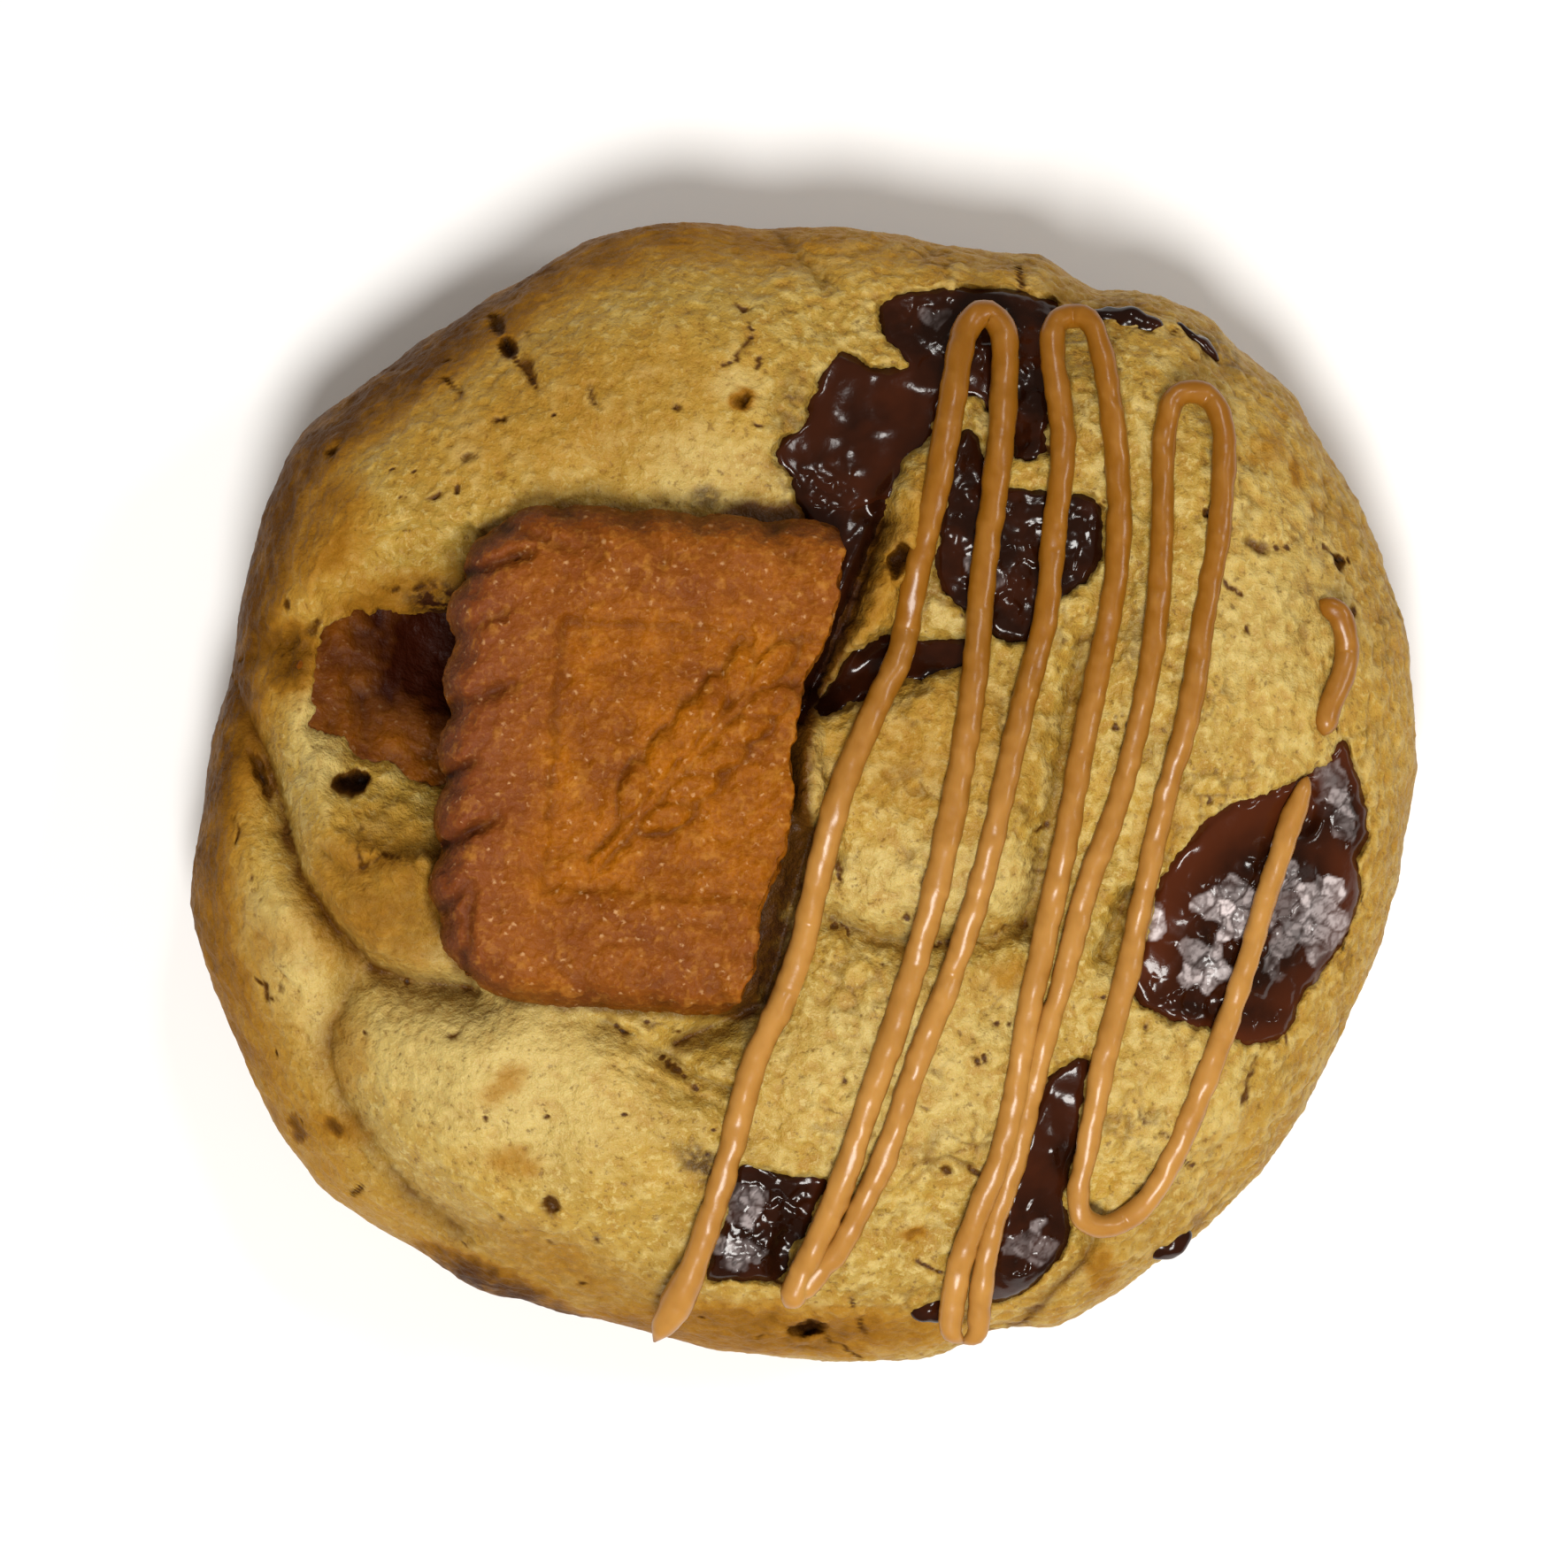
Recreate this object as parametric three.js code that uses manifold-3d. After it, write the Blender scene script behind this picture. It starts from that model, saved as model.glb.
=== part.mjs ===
// A thick baked cookie, about 80 mm across, with pools of melted chocolate in its top, half of a
// thin spiced biscuit pressed into it, a broken piece of a second one sunk beside that, and a
// zigzag of biscuit spread piped over the right half. Millimetres, +Z up, origin at the middle of
// the base; seen from above with +Y at the top, the biscuit is on the left.
import * as THREE from 'three';
import { mergeVertices } from 'three/addons/utils/BufferGeometryUtils.js';
import { ImprovedNoise } from 'three/addons/math/ImprovedNoise.js';
import Module from 'manifold-3d';

const wasm = await Module();
wasm.setup();

// Driving dimensions
const DOUGH_TOP = 21.6;        // height of the plain dome, before its lumps
const WIDEST_HEIGHT = 9;       // height at which the side bulges furthest
const BASE_INSET = 3;          // the flat base is this much smaller all round
const MEAN_RADIUS = 39.3;
const DOME_POWER = 4;          // how flat the top is: 2 is an ellipse, 4 nearly a slab
const FORM_DETAIL = 16;        // subdivisions of the icosahedron that becomes the dough
const GAP = 0.3;               // clearance between neighbouring pieces
const STRAND_SIDES = 5;
const STRAND_STEP = 4.0;       // length of one step along a strand of spread
const STRAND_SINK = 0.55;      // how far a strand's middle stands off the dough, in radii
const BISCUIT = { length: 50, width: 31.4, thickness: 6, corner: 6, edgeRound: 1.5 };
const SCALLOP = { pitch: 4.3, depth: 0.5, steps: 4 };
const PANEL = { inset: 7.3, depth: 0.5, corner: 2 };
const FLUTE = { length: 4.6, radius: 0.75, sides: 5 };
const EAR = { length: 18.5, stalk: 0.7, rows: 5, pitch: 2.4, offset: 1.3, lean: 28, turn: 52 };
const GRAIN = { length: 3.2, width: 1.5, height: 1.2 };
const EAR_AT = [-9.2, 0.5];    // the ear's middle, in the whole biscuit's frame

// The cookie's outline from above: angle from +X in degrees, radius at the widest height
const OUTLINE = [
  [0, 40.2], [18, 41.0], [37, 41.3], [45, 41.0], [50, 41.1], [56, 39.9], [60, 38.3], [66, 38.4],
  [72, 37.7], [80, 37.2], [90, 37.2], [95, 37.2], [102, 38.4], [110, 38.8], [126, 38.4],
  [138, 39.3], [145, 40.5], [152, 40.0], [168, 38.5], [180, 39.3], [189, 40.7], [205, 40.5],
  [219, 41.0], [228, 39.7], [236, 39.1], [245, 37.5], [262, 37.1], [275, 37.6], [285, 38.0],
  [290, 37.6], [296, 38.8], [320, 39.0], [340, 39.1],
];

// Rounded swellings and hollows of the top: middle, half sizes, turn of the first half size, rise
const LUMPS = [
  { at: [-24, 20], half: [14, 8.5], turn: 45, rise: 1.7 },
  { at: [-6, 26], half: [9, 7], turn: 0, rise: 1.0 },
  { at: [-27.5, -4], half: [7, 5.6], turn: 80, rise: 2.4 },
  { at: [-34.5, -12], half: [11, 4], turn: 105, rise: 0.8 },
  { at: [-16, -21.5], half: [12.5, 7.5], turn: -12, rise: 2.2 },
  { at: [7.5, -0.8], half: [9.3, 8.3], turn: 0, rise: 1.8 },
  { at: [4.5, -18.5], half: [8, 8], turn: 0, rise: 1.3 },
  { at: [0, -31.5], half: [13, 3.4], turn: 0, rise: 1.0 },
  { at: [20, -30.4], half: [7, 3], turn: 30, rise: 1.6 },
  { at: [24.5, -20.5], half: [6.5, 5.5], turn: 0, rise: 1.1 },
  { at: [28.5, 11], half: [11, 8], turn: 90, rise: 1.2 },
  { at: [26.5, 24], half: [8, 6], turn: 130, rise: 0.9 },
  { at: [4.9, 14.4], half: [7.8, 2.0], turn: 63, rise: 2.8 },
  { at: [0.4, 0.8], half: [4.2, 1.1], turn: 90, rise: 1.0 },
  { at: [-25.5, 9.8], half: [7, 4.4], turn: 12, rise: -3.6 },
  { at: [6.5, 25], half: [8, 7.5], turn: 0, rise: -0.9 },
  { at: [5, 7.6], half: [5.5, 2.2], turn: 25, rise: -1.0 },
];

// Folds and cracks pressed into the top: the line they follow, half width, depth
const FOLDS = [
  { line: [[-36.7, 6.8], [-33.5, -0.6], [-32, -5.1], [-29.7, -8.5], [-27.4, -11.1], [-22, -12.4]],
    half: 1.5, depth: 3.0 },
  { line: [[-28.7, -12.2], [-30.3, -17.3], [-27.5, -22.5], [-21.9, -28.1]], half: 2.3, depth: 1.7 },
  { line: [[-11.5, -14.7], [-6.5, -17.9], [-4, -18.9]], half: 1.2, depth: 1.2 },
  { line: [[17.8, 9.8], [16.9, 5.4], [15.8, -0.3], [14.1, -8.6]], half: 1.6, depth: 1.8 },
  { line: [[1.9, -8], [5, -9.3], [8.5, -9.4], [14.1, -8.6]], half: 1.4, depth: 1.8 },
  { line: [[0.7, 6.7], [2.9, 11], [5, 17]], half: 1.3, depth: 4.2 },
  { line: [[0.2, -3.5], [-1.4, -10], [-2.4, -13.4], [-8, -15.9]], half: 1.4, depth: 2.6 },
  { line: [[-2.3, 37.5], [-0.7, 35.1], [1.4, 32.8]], half: 1.3, depth: 1.5 },
  { line: [[20.7, -6.4], [19, -10.3]], half: 1.2, depth: 2.0 },
  { line: [[13.5, -35.5], [16, -32.4], [18.2, -30], [18.8, -28.2]], half: 1.3, depth: 2.0 },
  { line: [[-39, 7.4], [-36, 8.6], [-32.5, 9.8]], half: 1.8, depth: 2.0 },
];

// Melted chocolate, one pool each: outline from above, how far its top stands over the dough's
// own level (below it where negative), and the height of its underside
const POOLS = {
  chocolate_upper: {
    outline: [[5.4, 31.6], [9, 32.4], [13, 32.3], [16.6, 31.4], [15.9, 28], [15.7, 24],
      [15.2, 21.4], [13.6, 21.2], [12.7, 23.5], [11, 25.2], [9, 24.7], [8.2, 22.6], [6.4, 20.8],
      [5.2, 18.6], [3, 17.7], [0.4, 17.9], [-0.4, 19.6], [-1.8, 21.4], [0.2, 23.4], [0.9, 25.8],
      [2.4, 28], [4.4, 27], [6.6, 27.2], [5.2, 29.4]],
    stand: -0.5, floor: 12.5,
  },
  chocolate_middle: {
    outline: [[10.2, 23], [11.2, 22.4], [11.8, 20.1], [13.6, 19.2], [16, 19], [18.7, 18.6],
      [19, 16.5], [18.6, 14.3], [17.2, 12.9], [15.6, 11.8], [14.6, 9.8], [12.4, 9.7], [11, 11],
      [9.6, 12], [8.6, 13.6], [8.7, 16.5], [9.4, 19.6]],
    stand: -0.4, floor: 17,
  },
  chocolate_under_ridge: {
    outline: [[0.9, 5.3], [1.9, 7.2], [3.4, 9], [5.6, 10], [8, 9.6], [10.3, 9.7], [10.4, 8],
      [7.8, 7.3], [5.4, 6.6], [3.2, 5.6], [1.7, 4.9]],
    stand: -0.6, floor: 16.5,
  },
  chocolate_right: {
    outline: [[21, -12], [22.8, -14.2], [25.8, -14.9], [28.4, -16], [31.1, -15.5], [32.4, -12.6],
      [34.4, -10.4], [36, -6.4], [35.7, -4.2], [36.4, -2.6], [35.8, 0.6], [34.6, 3.2],
      [33.4, 1.7], [29.5, -0.2], [26.6, -1.2], [24.2, -3.6], [22.4, -6.3], [21.9, -8.8]],
    stand: 0.1, floor: 12,
  },
  chocolate_lower_right: {
    outline: [[18, -17], [15.8, -17.9], [14.9, -20.4], [13.8, -23.4], [13, -27], [12.2, -29.8],
      [12, -32.6], [13.2, -32.7], [15.2, -31.3], [17, -28.8], [16.8, -26], [17.4, -21.4]],
    stand: -0.6, floor: 11,
  },
  chocolate_lower: {
    outline: [[-3.8, -23.3], [-0.9, -24.3], [1.5, -24.4], [0.9, -26.6], [-0.3, -29], [-1.3, -31],
      [-3.6, -31], [-6, -31], [-5.3, -28.8], [-4.5, -26]],
    stand: -0.5, floor: 12,
  },
};

// The piped spread, one entry for each run between turns: radius and the points it passes over
const STRANDS = [
  { radius: 1.0, line: [[-9.4, -35], [-7.6, -31.7], [-6.2, -28.2], [-4.5, -22.6], [-3, -17],
    [-0.5, -11.4], [0.9, -5.8], [2.3, -0.3], [4.6, 5.3], [6.2, 8.7], [7.2, 13.7], [8.5, 19.3],
    [9.5, 24.9], [10.3, 29], [11.6, 30.5], [12.8, 29.2], [12.8, 24.9], [12.2, 19.3],
    [11.4, 13.7], [10.9, 8.1], [10.1, 2.5], [9, -3.1], [7.7, -8.6], [6, -14.2], [4.1, -19.8],
    [2.2, -25.4], [-0.2, -31], [-1, -32.6]] },
  { radius: 0.9, line: [[-0.4, -32], [1.1, -30.2], [2.7, -28.2], [5.3, -22.6], [7.2, -17],
    [9.4, -11.4], [11.2, -5.8], [12.5, -0.3], [13.8, 5.3], [15.3, 10.9], [15.9, 16.5],
    [16.5, 22.1], [15.9, 27.6], [16.1, 29.7], [17.2, 30.3], [18.5, 29.6], [19.4, 25.6],
    [20, 19.3], [19.8, 13.7], [18.8, 8.1], [17.6, 2.5], [16.6, -3.1], [15.4, -8.7],
    [14, -14.3], [12.9, -19.9], [10.9, -25.5], [9.5, -31.1], [9.4, -33.4], [10, -34.3]] },
  { radius: 0.85, line: [[10.2, -34.3], [11, -33], [11.6, -28.3], [12.9, -22.7], [14.7, -17.1],
    [16.5, -11.5], [18, -5.9], [20, -0.3], [21.4, 5.3], [22.3, 10.9], [22.7, 16.5],
    [22.9, 22.1], [23.5, 24.8], [24.8, 25.4], [26.1, 24.7], [26.7, 22.2], [26.3, 16.6],
    [25.3, 11], [24.4, 5.4], [22.9, -0.3], [21.7, -5.9], [20.5, -11.5], [19, -17.1],
    [18, -22.7], [17.5, -25.3]] },
  { radius: 0.7, line: [[17.5, -25], [17.8, -27], [19.4, -27.6], [21.7, -26.3], [23.7, -22.8],
    [26, -17.2], [28, -11.5], [29.7, -5.9], [31.1, -1.7], [32.1, 1], [33, 3]] },
  { radius: 0.8, line: [[32.9, 12.2], [34.2, 11.2], [34.7, 9.3], [34.4, 7.4], [33.6, 5.7],
    [33.1, 3.6]] },
];

// Each piece of biscuit: the outline that is left of the whole one, in the whole biscuit's frame
// with its middle at the origin, the point of it that is placed, where that point lies in the
// cookie, and how far the piece is turned about X, Y and Z
const HALF_BISCUIT = {
  kept: [[-30, -20], [-6.6, -20], [-6.2, -15.6], [-4.6, -14.7], [-4, -13], [-3.9, -9],
    [-3.4, -6.3], [-2.7, -4], [-2.7, -1.5], [-3.1, 1.2], [-2.7, 4.1], [-2.2, 6.2], [-1.4, 8.1],
    [-0.9, 10], [-0.7, 13], [-1, 20], [-30, 20]],
  middle: [-13.5, 0],
  at: [-11.2, 2.05, 26.2],
  turn: [0.8, 1.6, -4],
};
const SUNK_BISCUIT = {
  kept: [[-30, -3], [-22.8, -3.6], [-20.5, -4.9], [-18.4, -5.7], [-15.7, -6], [-12.8, -5.1],
    [-14.2, 6.5], [-16.6, 7.1], [-19.6, 6.4], [-22.4, 5.9], [-24.4, 4.2], [-30, 4]],
  middle: [-19.5, 0],
  at: [-26.7, 6.2, 16],
  turn: [-8, 8, -7],
};

const noise = new ImprovedNoise();

function smoothStep(value) {
  const t = Math.min(Math.max(value, 0), 1);
  return t * t * (3 - 2 * t);
}

// Radius of the outline at an angle in degrees, on a smooth curve through its points
function outlineRadius(angle) {
  const turn = ((angle % 360) + 360) % 360;
  const start = OUTLINE.findLastIndex(([knot]) => knot <= turn);
  const [before, from, to, after] = [-1, 0, 1, 2].map((step) => {
    const laps = Math.floor((start + step) / OUTLINE.length);
    const [knot, radius] = OUTLINE[start + step - laps * OUTLINE.length];
    return [knot + 360 * laps, radius];
  });
  const span = to[0] - from[0];
  const slopeFrom = ((to[1] - before[1]) / (to[0] - before[0])) * span;
  const slopeTo = ((after[1] - from[1]) / (after[0] - from[0])) * span;
  const t = (turn - from[0]) / span;
  return (2 * t ** 3 - 3 * t ** 2 + 1) * from[1] + (t ** 3 - 2 * t ** 2 + t) * slopeFrom
    + (3 * t ** 2 - 2 * t ** 3) * to[1] + (t ** 3 - t ** 2) * slopeTo;
}

function distanceToLine(line, x, y) {
  let nearest = Infinity;
  for (let i = 1; i < line.length; i += 1) {
    const [ax, ay] = line[i - 1];
    const [dx, dy] = [line[i][0] - ax, line[i][1] - ay];
    const along = ((x - ax) * dx + (y - ay) * dy) / (dx * dx + dy * dy);
    const t = Math.min(Math.max(along, 0), 1);
    nearest = Math.min(nearest, Math.hypot(x - ax - t * dx, y - ay - t * dy));
  }
  return nearest;
}

// Height that lumps, folds and the dough's own unevenness add at a point of the top
function relief(x, y) {
  let height = 0.35 * noise.noise(x / 6, y / 6, 1.5) + 0.25 * noise.noise(x / 3, y / 3, 4.5);
  for (const { at, half, turn, rise } of LUMPS) {
    const angle = THREE.MathUtils.degToRad(turn);
    const [dx, dy] = [x - at[0], y - at[1]];
    const u = (dx * Math.cos(angle) + dy * Math.sin(angle)) / half[0];
    const v = (dy * Math.cos(angle) - dx * Math.sin(angle)) / half[1];
    height += rise * Math.exp(-((u * u + v * v) ** 2));
  }
  for (const { line, half, depth } of FOLDS) {
    height -= depth * Math.exp(-((distanceToLine(line, x, y) / half) ** 2));
  }
  return height;
}

// How much of the relief is left at a share of the outline radius: all of it on top, a little
// at the widest line
function reliefShare(share) {
  return 1 - 0.75 * smoothStep((share - 0.8) / 0.2);
}

function domeHeight(share) {
  return WIDEST_HEIGHT + (DOUGH_TOP - WIDEST_HEIGHT) * Math.sqrt(Math.max(1 - share ** DOME_POWER, 0));
}

// Height of the dough's top surface over a point
function topHeight(x, y) {
  const angle = THREE.MathUtils.radToDeg(Math.atan2(y, x));
  const share = Math.min(Math.hypot(x, y) / outlineRadius(angle), 1);
  return domeHeight(share) + relief(x, y) * reliefShare(share);
}

// Share of the outline radius for an even walk along the dome from its middle (0) to the widest
// line (1)
const DOME_WALK = (() => {
  const samples = 400;
  const shares = Array.from({ length: samples + 1 }, (_, i) => Math.sin((i / samples) * Math.PI / 2) ** 0.6);
  const lengths = [0];
  for (let i = 1; i <= samples; i += 1) {
    const run = (shares[i] - shares[i - 1]) * MEAN_RADIUS;
    const drop = domeHeight(shares[i]) - domeHeight(shares[i - 1]);
    lengths.push(lengths[i - 1] + Math.hypot(run, drop));
  }
  return { shares, lengths };
})();

function domeShare(walk) {
  const { shares, lengths } = DOME_WALK;
  const target = Math.min(walk, 1) * lengths.at(-1);
  const i = Math.max(lengths.findIndex((length) => length >= target), 1);
  const t = (target - lengths[i - 1]) / (lengths[i] - lengths[i - 1]);
  return shares[i - 1] + t * (shares[i] - shares[i - 1]);
}

function asSolid(geometry) {
  const bare = geometry.index ? geometry : geometry.clone();
  bare.deleteAttribute('normal');
  bare.deleteAttribute('uv');
  const merged = mergeVertices(bare, 1e-4);
  return new wasm.Manifold(new wasm.Mesh({
    numProp: 3,
    vertProperties: new Float32Array(merged.attributes.position.array),
    triVerts: new Uint32Array(merged.index.array),
  }));
}

function asGeometry(solid) {
  const mesh = solid.getMesh();
  const geometry = new THREE.BufferGeometry();
  geometry.setAttribute('position', new THREE.BufferAttribute(mesh.vertProperties, 3));
  geometry.setIndex(new THREE.BufferAttribute(mesh.triVerts, 1));
  geometry.computeVertexNormals();
  return geometry;
}

// The largest single piece of a solid, without the scraps that a cut leaves
function mainPiece(solid) {
  return solid.decompose().reduce((best, piece) => (piece.volume() > best.volume() ? piece : best));
}

// The whole cookie as one lump, with its top raised or lowered by an amount
function doughForm(raise) {
  const geometry = new THREE.IcosahedronGeometry(1, FORM_DETAIL);
  const points = geometry.attributes.position;
  const lowerDepth = WIDEST_HEIGHT / Math.sqrt(1 - (1 - BASE_INSET / MEAN_RADIUS) ** 2);
  for (let i = 0; i < points.count; i += 1) {
    const direction = new THREE.Vector3().fromBufferAttribute(points, i).normalize();
    const angle = Math.atan2(direction.y, direction.x);
    const rim = outlineRadius(THREE.MathUtils.radToDeg(angle));
    const polar = Math.acos(THREE.MathUtils.clamp(direction.z, -1, 1)) / (Math.PI / 2);
    const share = polar <= 1 ? domeShare(polar) : Math.cos((polar - 1) * Math.PI / 2);
    const bulge = 0.5 * noise.noise(Math.cos(angle) * 5, Math.sin(angle) * 5, polar * 4);
    const radius = (rim + bulge * smoothStep((share - 0.85) / 0.15)) * share;
    const [x, y] = [radius * Math.cos(angle), radius * Math.sin(angle)];
    const sink = Math.min(Math.max(polar - 1, 0) * 4, 1);
    const plain = polar <= 1 ? domeHeight(share)
      : WIDEST_HEIGHT - lowerDepth * Math.sin((polar - 1) * Math.PI / 2);
    const added = relief(x, y) * reliefShare(polar <= 1 ? share : 1) + raise;
    points.setXYZ(i, x, y, plain + added * (1 - sink));
  }
  return asSolid(geometry);
}

function smoothOutline(points, steps) {
  const corners = points.map(([x, y]) => new THREE.Vector3(x, y, 0));
  const curve = new THREE.CatmullRomCurve3(corners, true, 'centripetal');
  return curve.getPoints(points.length * steps).slice(0, -1).map(({ x, y }) => [x, y]);
}

// An outline moved outwards by a distance, along the mean of the two sides that meet at a point
function grownOutline(points, distance) {
  const turnsLeft = THREE.ShapeUtils.area(points.map(([x, y]) => new THREE.Vector2(x, y))) > 0;
  return points.map(([x, y], i) => {
    const [px, py] = points.at(i - 1);
    const [nx, ny] = points[(i + 1) % points.length];
    const length = Math.hypot(nx - px, ny - py) * (turnsLeft ? 1 : -1);
    return [x + (distance * (ny - py)) / length, y - (distance * (nx - px)) / length];
  });
}

function prism(points, bottom, top) {
  const shape = new THREE.Shape(points.map(([x, y]) => new THREE.Vector2(x, y)));
  const geometry = new THREE.ExtrudeGeometry(shape, { depth: top - bottom, bevelEnabled: false });
  return geometry.translate(0, 0, bottom);
}

const ABOVE_ALL = 60;

function chocolatePool({ outline, stand, floor }) {
  const column = prism(smoothOutline(outline, 2), floor, ABOVE_ALL);
  return asSolid(column).intersect(doughForm(stand));
}

// What is taken out of the dough and of the spread over it to make room for a pool
function chocolateBed({ outline, stand, floor }) {
  const bed = grownOutline(smoothOutline(outline, 2), GAP);
  const column = prism(bed, floor - GAP, ABOVE_ALL);
  return asSolid(column).intersect(doughForm(Math.max(stand + GAP, 0.1)));
}

function spreadStrand({ radius, line }) {
  const points = line.map(([x, y]) => new THREE.Vector3(x, y, topHeight(x, y) + STRAND_SINK * radius));
  const rough = new THREE.CatmullRomCurve3(points, false, 'centripetal');
  const steps = Math.round(rough.getLength() / STRAND_STEP);
  const laid = rough.getSpacedPoints(steps).map(({ x, y }) => (
    new THREE.Vector3(x, y, topHeight(x, y) + STRAND_SINK * radius)));
  const section = new THREE.Shape(Array.from({ length: STRAND_SIDES }, (_, i) => {
    const angle = ((i + 0.5) / STRAND_SIDES) * 2 * Math.PI;
    return new THREE.Vector2(radius * Math.cos(angle), radius * Math.sin(angle));
  }));
  const path = new THREE.CatmullRomCurve3(laid, false, 'centripetal');
  return asSolid(new THREE.ExtrudeGeometry(section, { steps, extrudePath: path, bevelEnabled: false }));
}

// Points round a rectangle with round corners, a scallop's share of the pitch apart, each with
// the direction that points out of the rectangle
function biscuitEdge() {
  const { length, width, corner } = BISCUIT;
  const outline = new THREE.Path();
  const [x, y] = [length / 2 - corner, width / 2 - corner];
  outline.absarc(x, y, corner, 0, Math.PI / 2);
  outline.absarc(-x, y, corner, Math.PI / 2, Math.PI);
  outline.absarc(-x, -y, corner, Math.PI, 1.5 * Math.PI);
  outline.absarc(x, -y, corner, 1.5 * Math.PI, 2 * Math.PI);
  outline.closePath();
  const scallops = Math.round(outline.getLength() / SCALLOP.pitch);
  const count = scallops * SCALLOP.steps;
  return outline.getSpacedPoints(count).slice(0, -1).map((point, i, all) => {
    const along = all[(i + 1) % count].clone().sub(all.at(i - 1)).normalize();
    return { point, out: new THREE.Vector2(along.y, -along.x), place: i % SCALLOP.steps };
  });
}

// A whole spiced biscuit with a scalloped edge, plain on both faces, its top face at z = 0
function plainBiscuit() {
  const outline = biscuitEdge().map(({ point, out, place }) => {
    const bulge = SCALLOP.depth * (Math.sin((place / SCALLOP.steps) * Math.PI) - 1);
    return point.clone().addScaledVector(out, bulge);
  });
  const { thickness, edgeRound } = BISCUIT;
  const slab = new THREE.ExtrudeGeometry(new THREE.Shape(outline), {
    depth: thickness - 2 * edgeRound,
    bevelThickness: edgeRound,
    bevelSize: edgeRound,
    bevelOffset: -edgeRound,
    bevelSegments: 2,
  });
  return asSolid(slab.translate(0, 0, edgeRound - thickness));
}

// The same with a fluted border and a sunken panel that holds an ear of wheat
function mouldedBiscuit() {
  let biscuit = plainBiscuit();
  for (const { point, out, place } of biscuitEdge()) {
    if (place !== 0) continue;
    const flute = new THREE.CylinderGeometry(FLUTE.radius, FLUTE.radius, FLUTE.length, FLUTE.sides);
    flute.rotateZ(Math.atan2(out.y, out.x) - Math.PI / 2);
    const middle = point.clone().addScaledVector(out, -FLUTE.length / 2 - 0.6);
    biscuit = biscuit.subtract(asSolid(flute.translate(middle.x, middle.y, 0.3)));
  }
  return biscuit.subtract(sunkenPanel().subtract(wheatEar()));
}

function sunkenPanel() {
  const [x, y] = [BISCUIT.length / 2 - PANEL.inset, BISCUIT.width / 2 - PANEL.inset];
  const outline = new THREE.Shape();
  outline.absarc(x - PANEL.corner, y - PANEL.corner, PANEL.corner, 0, Math.PI / 2);
  outline.absarc(PANEL.corner - x, y - PANEL.corner, PANEL.corner, Math.PI / 2, Math.PI);
  outline.absarc(PANEL.corner - x, PANEL.corner - y, PANEL.corner, Math.PI, 1.5 * Math.PI);
  outline.absarc(x - PANEL.corner, PANEL.corner - y, PANEL.corner, 1.5 * Math.PI, 2 * Math.PI);
  const hollow = new THREE.ExtrudeGeometry(outline, {
    depth: 2, bevelEnabled: false, curveSegments: 3,
  });
  return asSolid(hollow.translate(0, 0, -PANEL.depth));
}

// Pairs of leaning grains on a stalk, with one more at its tip
function wheatEar() {
  const { length, stalk, rows, pitch, offset, lean, turn } = EAR;
  const stem = new THREE.BoxGeometry(length - GRAIN.length, stalk, 2 * PANEL.depth);
  let ear = asSolid(stem.translate(-GRAIN.length / 2, 0, -PANEL.depth));
  const grainAt = (x, y, degrees) => {
    const grain = new THREE.SphereGeometry(0.5, 6, 4).scale(GRAIN.length, GRAIN.width, GRAIN.height);
    grain.rotateZ(THREE.MathUtils.degToRad(degrees));
    return asSolid(grain.translate(x, y, -PANEL.depth));
  };
  const tip = (length - GRAIN.length) / 2;
  ear = ear.add(grainAt(tip, 0, 0));
  for (let row = 0; row < rows; row += 1) {
    const x = tip - (row + 0.8) * pitch;
    ear = ear.add(grainAt(x, offset, lean)).add(grainAt(x, -offset, -lean));
  }
  return ear.rotate([0, 0, turn]).translate([...EAR_AT, 0]);
}

function biscuitPlace({ at, turn }) {
  const place = new THREE.Object3D();
  place.position.set(...at);
  place.rotation.set(...turn.map(THREE.MathUtils.degToRad));
  place.updateMatrix();
  return place;
}

// The broken piece that is left of a whole biscuit, about the point that is placed
function biscuitPiece(biscuit, { kept, middle }) {
  const column = asSolid(prism(kept, -2 * BISCUIT.thickness, BISCUIT.thickness));
  return mainPiece(biscuit.intersect(column)).translate([-middle[0], -middle[1], 0]);
}

// The hole that the piece sits in, open above, in the cookie's frame
function biscuitBed({ kept, middle, at, turn }) {
  const round = biscuitEdge().map(({ point }) => [point.x, point.y]);
  const { matrix } = biscuitPlace({ at, turn });
  const [whole, piece] = [round, kept].map((outline) => {
    const column = prism(grownOutline(outline, GAP), -BISCUIT.thickness - GAP, ABOVE_ALL);
    return asSolid(column.translate(-middle[0], -middle[1], 0).applyMatrix4(matrix));
  });
  return whole.intersect(piece);
}

// The dough with the spread baked on to it as one solid, flat under the base
function doughWithSpread() {
  let dough = doughForm(0);
  for (const strand of STRANDS) dough = dough.add(spreadStrand(strand));
  for (const pool of Object.values(POOLS)) dough = dough.subtract(chocolateBed(pool));
  dough = dough.subtract(biscuitBed(HALF_BISCUIT)).subtract(biscuitBed(SUNK_BISCUIT));
  const reach = 4 * MEAN_RADIUS;
  const below = new THREE.BoxGeometry(reach, reach, reach).translate(0, 0, -reach / 2);
  return mainPiece(dough.subtract(asSolid(below)));
}

function pieceMesh(name, geometry, color, roughness) {
  const material = new THREE.MeshStandardMaterial({ color, roughness, metalness: 0 });
  const mesh = new THREE.Mesh(geometry, material);
  mesh.name = name;
  return mesh;
}

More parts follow.
